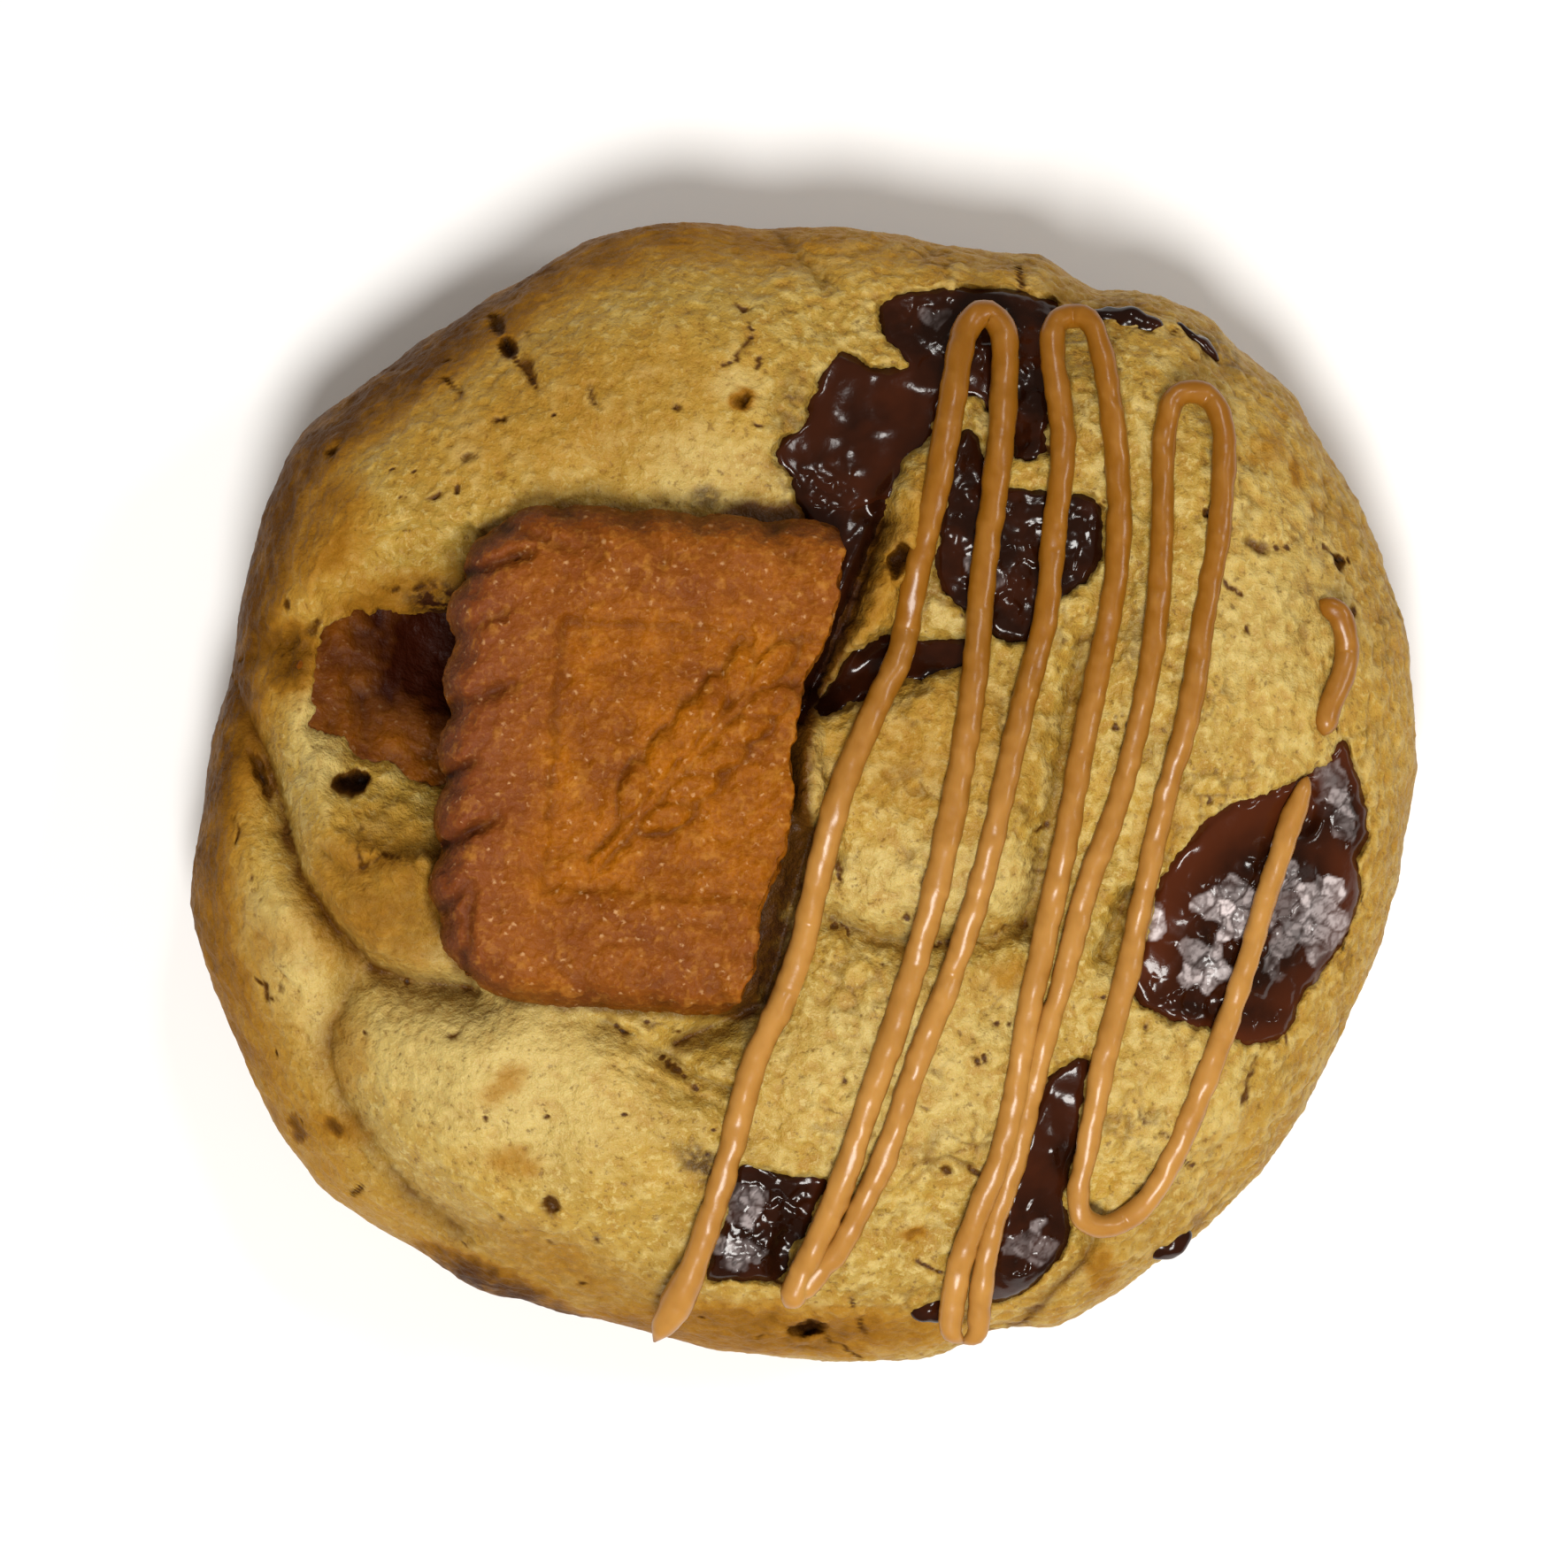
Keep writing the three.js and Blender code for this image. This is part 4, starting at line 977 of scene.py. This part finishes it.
# The mould was sharper at one end: share of the scallops' depth at the left end, the near side and
# elsewhere, and shares of the flutes' depth and width anywhere but at the left end
SCALLOP_SHARES = (1.8, 0.35, 0.75)
WORN_FLUTE_DEPTH = 0.45
WORN_FLUTE_WIDTH = 1.7


def moulded_edge():
    """Points round the whole biscuit's scalloped edge, about its middle, and where its notches are."""
    x_side, y_side = BISCUIT_LENGTH / 2 - BISCUIT_CORNER, BISCUIT_WIDTH / 2 - BISCUIT_CORNER
    length = 4 * x_side + 4 * y_side + 2 * math.pi * BISCUIT_CORNER
    scallops = round(length / SCALLOP_PITCH)
    centres = [(x_side, y_side, 0), (-x_side, y_side, 90), (-x_side, -y_side, 180), (x_side, -y_side, 270)]
    path = []
    for cx, cy, start in centres:
        for turn in np.radians(np.linspace(start, start + 90, 40)):
            path.append((cx + BISCUIT_CORNER * math.cos(turn), cy + BISCUIT_CORNER * math.sin(turn)))
    path = np.array(path + path[:1])
    walked = np.concatenate([[0], np.cumsum(np.hypot(*np.diff(path, axis=0).T))])
    along = np.linspace(0, walked[-1], int(walked[-1] / EDGE_STEP), endpoint=False)
    points = np.column_stack([np.interp(along, walked, path[:, k]) for k in (0, 1)])
    ahead = np.roll(points, -1, 0) - np.roll(points, 1, 0)
    out = np.column_stack([ahead[:, 1], -ahead[:, 0]]) / np.hypot(*ahead.T)[:, None]
    phase = along / walked[-1] * scallops
    at_left, at_near, elsewhere = SCALLOP_SHARES
    share = np.where(out[:, 0] < -0.7, at_left, np.where(out[:, 1] < -0.7, at_near, elsewhere))
    scalloped = points + out * (SCALLOP_DEPTH * share * (np.abs(np.sin(phase * math.pi)) - 1))[:, None]
    notches = [int(np.argmin(abs(along - k * walked[-1] / scallops))) for k in range(scallops)]
    return scalloped, points[notches], out[notches]


def remeshed(name, outline):
    """A biscuit of the outline, its face at height 0, as one even skin of small faces."""
    builder = bmesh.new()
    ring = [builder.verts.new((px, py, -BISCUIT_THICKNESS)) for px, py in outline]
    face = builder.faces.new(ring)
    grown = bmesh.ops.extrude_face_region(builder, geom=[face])
    raised = [item for item in grown["geom"] if isinstance(item, bmesh.types.BMVert)]
    bmesh.ops.translate(builder, verts=raised, vec=(0, 0, BISCUIT_THICKNESS))
    bmesh.ops.recalc_face_normals(builder, faces=builder.faces)
    mesh = bpy.data.meshes.new(name)
    builder.to_mesh(mesh)
    builder.free()
    column = bpy.data.objects.new(name, mesh)
    bpy.context.scene.collection.objects.link(column)
    skin = column.modifiers.new("skin", "REMESH")
    skin.mode = "VOXEL"
    skin.voxel_size = BISCUIT_VOXEL
    soften = column.modifiers.new("soften", "SMOOTH")
    soften.iterations = 3
    evaluated = column.evaluated_get(bpy.context.evaluated_depsgraph_get())
    result = bpy.data.meshes.new_from_object(evaluated)
    bpy.data.objects.remove(column)
    result.name = name
    return result


# Caramelised biscuit: dry and sandy, red brown from burnt sugar and rosier on its rubbed border, with
# pale crumbs painted lighter where they stand up, painted glints of sugar grains, and painted shade in its
# grooves, round its shoulder and low on its break
BISCUIT_AMBER = "#a05b02"
BISCUIT_BROWN = "#7a3e02"
BISCUIT_SHADE = "#2d0c01"
BISCUIT_ROSY = "#773c1b"
SUGAR_PALE = "#bf8230"
SUGAR_GLINT = "#dcae7c"

# Sizes of its patterns: patches, sugar crystals that carry painted glints, and ground spice, which is too
# fine to show and so is drawn at 0.32 mm
BISCUIT_PATCH = 4
SUGAR_PITCH = 0.75
SPICE_GRAIN = 0.32
spiced = new_material("caramelised_spiced_biscuit")
place = add(spiced, "TexCoord", {}, "Object")
patches = add(spiced, "TexNoise", {
    "Vector": place, "Scale": 1 / (BISCUIT_PATCH * MM), "Detail": 5, "Roughness": 0.6})
sand = add(spiced, "TexNoise", {"Vector": place, "Scale": 1 / (SPICE_GRAIN * MM), "Detail": 3})
sugar = add(spiced, "TexVoronoi", {"Vector": place, "Scale": 1 / (SUGAR_PITCH * MM)})
rubbed_amount, tone, painted_shade_amount = (
    add(spiced, "Attribute", {}, "Fac", attribute_name=name) for name in ("rubbed", "tone", "painted_shade"))
patch_share = add(spiced, "MapRange", {"Value": patches, "From Min": 0.35, "From Max": 0.65})
sand_share = add(spiced, "MapRange", {"Value": sand, "From Min": 0.52, "From Max": 0.75, "To Max": 0.3})
bright_share = add(spiced, "MapRange", {"Value": tone, "From Min": 0.6, "From Max": 0.95, "To Max": 0.45})
dull_share = add(spiced, "MapRange", {"Value": sand, "From Min": 0.48, "From Max": 0.3, "To Max": 0.5})
# Painted glints: small pale specks where sugar crystals would catch the light
glint = add(spiced, "MapRange", {"Value": sugar, "From Min": 0.3, "From Max": 0.1, "To Max": 0.5})
grit = add(spiced, "MapRange", {"Value": sand, "From Min": 0.5, "From Max": 0.6})
glint_share = add(spiced, "Math", {0: glint, 1: grit}, operation="MULTIPLY")
colour = linear(BISCUIT_BROWN)
for share, next_colour in (
        (patch_share, BISCUIT_AMBER), (rubbed_amount, BISCUIT_ROSY), (sand_share, SUGAR_PALE),
        (bright_share, SUGAR_PALE), (dull_share, BISCUIT_BROWN), (glint_share, SUGAR_GLINT),
        (painted_shade_amount, BISCUIT_SHADE)):
    colour = add(spiced, "Mix", {"Factor": share, 6: colour, 7: linear(next_colour)}, 2, data_type="RGBA")
sandy = add(spiced, "Bump", {"Height": sand, "Strength": 0.75, "Distance": 0.16 * MM})
mottled = add(spiced, "Bump", {"Height": patches, "Strength": 0.35, "Distance": 0.35 * MM, "Normal": sandy})
finish_material(spiced, add(spiced, "BsdfPrincipled", {
    "Base Color": colour, "Roughness": 0.5, "IOR": 1.45, "Specular IOR Level": 0.12, "Normal": mottled,
    "Subsurface Weight": 0.06, "Subsurface Radius": (1.0, 0.4, 0.15), "Subsurface Scale": 0.6 * MM,
}))

# The placed point of the half, as it lies on the whole biscuit
HALF_MIDDLE = np.array([-13.5, 0])

# The outline of the half: the moulded edge left of the break, then the ragged break
edge, notch_points, notch_out = moulded_edge()
edge_from_here = edge - HALF_MIDDLE
break_line = HALF_BISCUIT_KEPT[1:-5]
break_x = np.interp(edge_from_here[:, 1], break_line[:, 1], break_line[:, 0])
left_of_break = edge_from_here[edge_from_here[:, 0] < break_x]
gaps = np.hypot(*np.diff(np.vstack([left_of_break, left_of_break[:1]]), axis=0).T)
left_of_break = np.roll(left_of_break, -(np.argmax(gaps) + 1), axis=0)
fine_break = []
for (ax, ay), (bx, by) in zip(break_line, break_line[1:]):
    steps = max(int(math.hypot(bx - ax, by - ay) / EDGE_STEP), 1)
    for t in np.linspace(0, 1, steps, endpoint=False):
        fine_break.append((ax + t * (bx - ax), ay + t * (by - ay)))
fine_break = np.array(fine_break)
along_break = flat(*fine_break.T)
fine_break[:, 0] += 0.3 * unevenness(along_break, 1.3, 20) + 0.15 * unevenness(along_break, 0.6, 21)
low_end, high_end = left_of_break[-1][1], left_of_break[0][1]
fine_break = fine_break[(fine_break[:, 1] > low_end) & (fine_break[:, 1] < high_end)]
half_outline = np.vstack([left_of_break, fine_break])

half = remeshed("half_biscuit_baked", half_outline)
points = points_of(half)
x, y, z = points.T
whole_x, whole_y = x + HALF_MIDDLE[0], y + HALF_MIDDLE[1]
inset = np.maximum(depth_inside(edge, whole_x, whole_y, 20), 0)
drop = SHOULDER_DROP * np.clip(1 - inset / SHOULDER_WIDTH, 0, 1) ** 2.3

# A flute runs inward from each notch of the edge, slanted and of its own length and depth
flutes = np.zeros(len(x))
for (px, py), (ox, oy) in zip(notch_points, notch_out):
    slant = math.radians(FLUTE_SLANT + random.normal(0, 8))
    ix = -(ox * math.cos(slant) - oy * math.sin(slant))
    iy = -(ox * math.sin(slant) + oy * math.cos(slant))
    length = FLUTE_LENGTH * random.uniform(0.6, 1.15)
    line = [(px, py), (px + ix * length, py + iy * length)]
    at_left = ox < -0.6
    deep = FLUTE_DEPTH * random.uniform(0.4, 1.2) * (1 if at_left else WORN_FLUTE_DEPTH)
    wide = FLUTE_WIDTH * (1 if at_left else WORN_FLUTE_WIDTH)
    away = distance_to_line(line, whole_x + 0.3 * unevenness(points, 1.6, 33), whole_y)
    fade = smooth_step((length + 1 - np.hypot(whole_x - px, whole_y - py)) / 2.5)
    flutes = np.maximum(flutes, deep * fade * np.exp(-((away / wide) ** 2)))

# The sunken panel, with a fine line round it that is worn away in places
panel_x = BISCUIT_LENGTH / 2 - PANEL_INSET
panel_y = BISCUIT_WIDTH / 2 - PANEL_INSET
in_panel = np.minimum(panel_x - abs(whole_x), panel_y - abs(whole_y)) + 0.25 * unevenness(points, 2, 34)
panel = smooth_step((in_panel + 0.3) / 0.8)
worn = 0.55 + 0.45 * smooth_step(0.5 + 1.3 * unevenness(points, 6, 35))
frame_line = worn * np.exp(-((in_panel / 0.38) ** 2)) * np.where(whole_y < -4, 0.4, 1)

# An ear of wheat in low relief: pairs of leaning grains on a stalk, with one more at its tip
ear_angle = math.radians(EAR_TURN)
from_x, from_y = whole_x - EAR_AT[0], whole_y - EAR_AT[1]
ear_x = from_x * math.cos(ear_angle) + from_y * math.sin(ear_angle)
ear_y = from_y * math.cos(ear_angle) - from_x * math.sin(ear_angle)
tip = (EAR_LENGTH - GRAIN_LENGTH) / 2
on_stalk = (ear_x > -EAR_LENGTH / 2) & (ear_x < tip)
ear = 0.6 * on_stalk * np.exp(-((ear_y / STALK_HALF_WIDTH) ** 2))
grain_half = (GRAIN_LENGTH * 0.54, GRAIN_WIDTH * 0.54)
ear = np.maximum(ear, swelling(ear_x, ear_y, (tip, 0), grain_half, 0))
for row in range(EAR_ROWS):
    for side in (1, -1):
        middle = (tip - (row + 0.8) * EAR_PITCH, side * EAR_OFFSET)
        ear = np.maximum(ear, swelling(ear_x, ear_y, middle, grain_half, side * EAR_LEAN))
from_grain = (-np.log(np.clip(ear, 1e-9, 1))) ** 0.25
ear_outline = np.exp(-(((from_grain - 1.2) / 0.25) ** 2))

# The relief goes into the top alone, the shoulder into the whole height, and crumbs all over
top_share = smooth_step((z + 1.5) / 1.2)
sunk = panel * PANEL_DEPTH * (1 - 1.2 * ear) + 0.16 * frame_line + 0.24 * worn * panel * ear_outline
new_z = -BISCUIT_THICKNESS + (z + BISCUIT_THICKNESS) * (BISCUIT_THICKNESS - drop) / BISCUIT_THICKNESS
new_z -= (sunk + flutes * (1 - panel)) * top_share
new_z += top_share * (0.3 * unevenness(points, 6, 22) + 0.12 * unevenness(points, 2.6, 36))
broken = smooth_step((2.2 - distance_to_line(break_line, x, y)) / 1.6) * smooth_step((x - 4) / 4)
set_points(half, flat(x, y, new_z))
points = points_of(half)
crumbs, crumb_tone, _, _ = facets(points + 0.3 * unevenness(points, 0.9, 37)[:, None], 1.0, 0.2, 5)
small_crumbs, small_tone, _, _ = facets(points, 0.5, 0.3, 7)
rough = 0.12 * unevenness(points, 1.8, 23) + 0.1 * unevenness(points, 0.62, 24) + 0.09 * crumbs
rough += 0.08 * small_crumbs
rough += broken * 0.28 * unevenness(points, 1.4, 25)
points += normals_of(half) * rough[:, None]
set_points(half, points * MM)
border = smooth_step(inset / 0.6) * smooth_step((PANEL_INSET - inset) / 2.5)
toward_left = smooth_step((-18 - whole_x) / 6)
grooves = flutes + 0.3 * frame_line + 0.55 * worn * panel * ear_outline
paint(half, "rubbed", border * top_share * (0.35 + 0.65 * toward_left))
# Painted shade in the flutes, the frame line and round the ear, round the shoulder and low on the break;
# raised crumbs are painted lighter
paint(half, "painted_shade", top_share * grooves + 0.45 * (1 - smooth_step(inset / 1.5))
      + 0.3 * broken * (1 - top_share) - rough)
# Tone differs at random from crumb to crumb, and is lighter where the surface stands up, as painted light
paint(half, "tone", 0.2 * crumb_tone + 0.7 * small_tone + 1.2 * rough)
half.transform(place_of(Vector(HALF_BISCUIT_AT) * MM, HALF_BISCUIT_TURN))
make_piece("half_biscuit_baked", half, spiced, "biscuit", "half_biscuit")

sunk_outline = smooth_outline(SUNK_BISCUIT_KEPT, 8)
sunk_outline += 0.4 * np.column_stack([unevenness(flat(*sunk_outline.T), 1.3, 26),
                                       unevenness(flat(*sunk_outline.T), 1.3, 27)])
sunk_piece = remeshed("sunk_biscuit_baked", sunk_outline)
points = points_of(sunk_piece)

# Its corner under the half biscuit broke down and lies in that biscuit's shadow, which is painted nearly
# black: middle, half sizes, turn, drop
SHADOWED_CORNER = ((4.7, 3.9), (4.7, 4.2), -15)
CORNER_DROP = 2.0
corner = swelling(points[:, 0], points[:, 1], *SHADOWED_CORNER)
crumbs, crumb_tone, _, _ = facets(points, 1.5, 0.15, 6)
rough = (0.12 * crumbs + 0.3 * unevenness(points, 3, 28) + 0.2 * unevenness(points, 1.3, 29)
         + 0.1 * unevenness(points, 0.65, 30))
points += normals_of(sunk_piece) * rough[:, None]
points[:, 2] -= CORNER_DROP * corner * (points[:, 2] > -BISCUIT_THICKNESS / 2)
set_points(sunk_piece, points * MM)
from_corner = np.sqrt(-np.log(np.clip(corner, 1e-9, 1)))
# The whole piece is painted darker, nearly black as painted shadow towards its corner, and lighter on raised
# crumbs
paint(sunk_piece, "painted_shade", 0.5 + 1.05 * np.exp(-0.65 * from_corner) - 0.7 * rough)
paint(sunk_piece, "tone", 0.4 * crumb_tone)
sunk_piece.transform(place_of(Vector(SUNK_BISCUIT_AT) * MM, SUNK_BISCUIT_TURN))
make_piece("sunk_biscuit_baked", sunk_piece, spiced, "biscuit", "sunk_biscuit")

# ---------------------------------------------------------------------------------------------
# The spread
# Smooth caramel coloured biscuit spread, piped warm through a fine nozzle in a zigzag while the
# hand moved to and fro. It sagged a little over dips, ran together at the turns and set soft.
# ---------------------------------------------------------------------------------------------

# Each strand's radius and the line that the nozzle took
STRANDS = [
    (0.89, [(-9.4, -35), (-7.6, -31.7), (-6.2, -28.2), (-4.5, -22.6), (-3, -17), (-0.5, -11.4), (0.9, -5.8),
           (2.3, -0.3), (4.6, 5.3), (6.2, 8.7), (7.2, 13.7), (8.5, 19.3), (9.5, 24.9), (10.3, 29),
           (11.6, 30.5), (12.8, 29.2), (12.8, 24.9), (12.2, 19.3), (11.4, 13.7), (10.9, 8.1), (10.1, 2.5),
           (9, -3.1), (7.7, -8.6), (6, -14.2), (4.1, -19.8), (2.2, -25.4), (-0.2, -31), (-1, -32.6)]),
    (0.83, [(-0.4, -32), (1.1, -30.2), (2.7, -28.2), (5.3, -22.6), (7.2, -17), (9.4, -11.4), (11.2, -5.8),
           (12.5, -0.3), (13.8, 5.3), (15.3, 10.9), (15.9, 16.5), (16.5, 22.1), (15.9, 27.6), (16.1, 29.7),
           (17.2, 30.3), (18.5, 29.6), (19.4, 25.6), (20, 19.3), (19.8, 13.7), (18.8, 8.1), (17.6, 2.5),
           (16.6, -3.1), (15.4, -8.7), (14.2, -14.3), (13.3, -19.9), (12.3, -23.6),
           (11.3, -26.2), (10.2, -29.4), (9.7, -32), (9.5, -34.2), (10.3, -35.1)]),
    (0.78, [(10.3, -35.2), (11.2, -34.4), (11.4, -31.6), (12.2, -27.2), (13.7, -22.4), (14.9, -17.1),
            (16.5, -11.5), (18, -5.9), (20, -0.3), (21.4, 5.3), (22.3, 10.9), (22.7, 16.5),
            (22.9, 22.1), (23.5, 24.8), (24.8, 25.4),
            (26.1, 24.7), (26.7, 22.2), (26.3, 16.6), (25.3, 11), (24.4, 5.4), (22.9, -0.3), (21.7, -5.9),
            (20.5, -11.5), (19, -17.1), (18, -22.7), (17.5, -25.3), (17.8, -27), (19.4, -27.6),
            (21.7, -26.3), (23.7, -22.8), (26, -17.2), (28, -11.5), (29.7, -5.9), (31.1, -1.7), (32.1, 1)]),
    (0.78, [(32.9, 12.2), (34.2, 11.2), (34.7, 9.3), (34.4, 7.4), (33.6, 5.7), (33.1, 3.6)]),
]

# How high a strand's middle stands over the ground and how flat it sank, as shares of its radius,
# and the radius of the arch on which it bridges a dip
STRAND_STAND = 0.38
STRAND_FLATNESS = 0.85
BRIDGE_RADIUS = 14
STRAND_STEP = 0.3
STRAND_SIDES = 20

# Where a strand swelled or was drawn thin: middle, reach, change of its thickness
STRAND_CHANGES = [
    ((-7.4, -31.9), 1.6, 0.25),
    ((-9.2, -34.8), 1.0, -0.35),
    ((-0.9, -32.9), 1.2, 0.15),
    ((10.4, -35), 1.4, -0.2),
    ((32.1, 0.6), 1.2, -0.35),
]

tubes = bmesh.new()
for strand_radius, route in STRANDS:
    corners = np.array(route)
    pieces = []
    padded = np.vstack([2 * corners[0] - corners[1], corners, 2 * corners[-1] - corners[-2]])
    for before, here, there, after in zip(padded, padded[1:], padded[2:], padded[3:]):
        steps = max(int(math.hypot(*(there - here)) / STRAND_STEP), 1)
        t = np.linspace(0, 1, steps, endpoint=False)[:, None]
        pieces.append(curve_between(before, here, there, after, t))
    path = np.vstack(pieces + [corners[-1:]])
    x, y = path.T
    ground = top_height(x, y)
    level = ground.copy()
    walked = np.concatenate([[0], np.cumsum(np.hypot(*np.diff(path, axis=0).T))])
    for index, place_along in enumerate(walked):
        level[index] = np.max(ground - (walked - place_along) ** 2 / (2 * BRIDGE_RADIUS))
    uneven = 0.1 * unevenness(flat(x, y), 5, 31)
    thick = strand_radius * (0.96 + uneven + 0.08 * unevenness(flat(x, y), 1.6, 32))
    for (cx, cy), reach, change in STRAND_CHANGES:
        thick *= 1 + change * np.exp(-(((x - cx) ** 2 + (y - cy) ** 2) / reach ** 2))
    to_end = np.minimum(walked, walked[-1] - walked)
    thick *= np.sqrt(np.clip(to_end / strand_radius, 0.02, 1))
    line = flat(x, y, level + STRAND_STAND * strand_radius)
    ahead = np.gradient(line, axis=0)
    ahead /= np.linalg.norm(ahead, axis=1)[:, None]
    side = np.cross(ahead, (0, 0, 1))
    side /= np.linalg.norm(side, axis=1)[:, None]
    up = np.cross(side, ahead)
    rings = []
    for centre, across, above, size in zip(line, side, up, thick):
        ring = []
        for turn in np.linspace(0, 2 * math.pi, STRAND_SIDES, endpoint=False):
            offset = math.cos(turn) * across + STRAND_FLATNESS * math.sin(turn) * above
            ring.append(tubes.verts.new(centre + size * offset))
        rings.append(ring)
    for ring, following in zip(rings, rings[1:]):
        for k in range(STRAND_SIDES):
            tubes.faces.new((ring[k - 1], ring[k], following[k], following[k - 1]))
    tubes.faces.new(rings[0])
    tubes.faces.new(rings[-1][::-1])
bmesh.ops.recalc_face_normals(tubes, faces=tubes.faces)
spread = bpy.data.meshes.new("piped_spread")
tubes.to_mesh(spread)
tubes.free()
points = points_of(spread)
ripple = 0.09 * unevenness(points, 1.1, 36) + 0.05 * unevenness(points, 0.5, 38)
flank = 1 - np.maximum(normals_of(spread)[:, 2], 0)
points += normals_of(spread) * ripple[:, None]
set_points(spread, points * MM)

# Painted shading: the spread is darker towards the back, where less light falls, and on the flanks of
# each strand, and lighter on its ripples
toward_near = smooth_step((15 - points[:, 1]) / 26)
paint(spread, "painted_shading", 0.1 + 0.9 * toward_near - 0.9 * flank ** 1.5 + 3 * ripple)

# Biscuit spread: an oily paste of ground biscuit, satin and slightly translucent. Its ground bits are
# too fine to show and so are drawn at 0.4 mm
# Caramel where the spread is painted lit, deeper where it is painted shaded or in its clouds
SPREAD_CARAMEL = "#bb8741"
SPREAD_DEEP_AND_SHADED = "#8e5911"
SPREAD_CLOUD = 5
GROUND_BIT = 0.4
paste = new_material("piped_biscuit_spread")
place = add(paste, "TexCoord", {}, "Object")
clouds = add(paste, "TexNoise", {"Vector": place, "Scale": 1 / (SPREAD_CLOUD * MM), "Detail": 2})
painted_shading = add(paste, "Attribute", {}, "Fac", attribute_name="painted_shading")
cloud_share = add(paste, "MapRange", {"Value": clouds, "From Min": 0.35, "From Max": 0.65, "To Min": 0.7})
light_share = add(paste, "Math", {0: painted_shading, 1: cloud_share}, operation="MULTIPLY")
colour = add(paste, "Mix", {"Factor": light_share, 6: linear(SPREAD_DEEP_AND_SHADED), 7: linear(SPREAD_CARAMEL)}, 2,
             data_type="RGBA")
ground_bits = add(paste, "TexNoise", {"Vector": place, "Scale": 1 / (GROUND_BIT * MM), "Detail": 2})
faint = add(paste, "Bump", {"Height": ground_bits, "Strength": 0.12, "Distance": 0.1 * MM})
finish_material(paste, add(paste, "BsdfPrincipled", {
    "Base Color": colour, "Roughness": 0.28, "IOR": 1.46, "Specular IOR Level": 0.4, "Normal": faint,
    "Subsurface Weight": 0.15, "Subsurface Radius": (0.8, 0.4, 0.15), "Subsurface Scale": 1.0 * MM,
}))
make_piece("piped_spread", spread, paste, "spread", "dough")

# ---------------------------------------------------------------------------------------------
# The table, the light and the camera
# A matt near-white table, the main soft lamp high in front, a weaker one to the right and a faint
# one behind in a dim warm room, and the camera straight above the cookie.
# ---------------------------------------------------------------------------------------------
TABLE_HALF_WIDTH = 1500
TABLE_DROP = 0.02
bpy.context.scene.view_settings.view_transform = "Standard"
table_builder = bmesh.new()
bmesh.ops.create_grid(table_builder, x_segments=2, y_segments=2, size=TABLE_HALF_WIDTH * MM)
table = bpy.data.meshes.new("table_top")
table_builder.to_mesh(table)
table_builder.free()
matt_white = new_material("matt_white_table")
finish_material(matt_white, add(matt_white, "BsdfPrincipled", {
    "Base Color": linear("#fdfdfe"), "Roughness": 0.9}))
table.materials.append(matt_white)
table_top = bpy.data.objects.new("table_top", table)
bpy.context.scene.collection.objects.link(table_top)
table_top.location.z = -TABLE_DROP * MM

# Each lamp's place and width in metres, and its watts
LAMP_WHITE = "#fffdf9"
LAMPS = {
    "lamp_front": ((0.0, -0.2, 0.46), 0.17, 2.35),
    "lamp_right": ((0.42, 0.1, 0.42), 0.12, 0.6),
    "lamp_back": ((0.1, 0.3, 0.42), 0.06, 0.35),
}
for name, (position, size, watts) in LAMPS.items():
    lamp = bpy.data.lights.new(name, "AREA")
    lamp.shape = "DISK"
    lamp.size = size
    lamp.energy = watts
    lamp.color = linear(LAMP_WHITE)[:3]
    stand = bpy.data.objects.new(name, lamp)
    stand.location = position
    stand.rotation_euler = (-Vector(position)).to_track_quat("-Z", "Y").to_euler()
    bpy.context.scene.collection.objects.link(stand)

ROOM_WARM = "#fff2e0"
ROOM_STRENGTH = 0.19
room = bpy.data.worlds.new("room")
room.use_nodes = True
room.node_tree.nodes["Background"].inputs["Color"].default_value = linear(ROOM_WARM)
room.node_tree.nodes["Background"].inputs["Strength"].default_value = ROOM_STRENGTH
bpy.context.scene.world = room

CAMERA_AT = (-1.13, 0.52, 309)
CAMERA_LENS = 104.8
lens = bpy.data.cameras.new("camera")
lens.sensor_width = 36
lens.lens = CAMERA_LENS
lens.clip_start = 0.01
camera = bpy.data.objects.new("camera", lens)
camera.location = Vector(CAMERA_AT) * MM
bpy.context.scene.collection.objects.link(camera)
bpy.context.scene.camera = camera
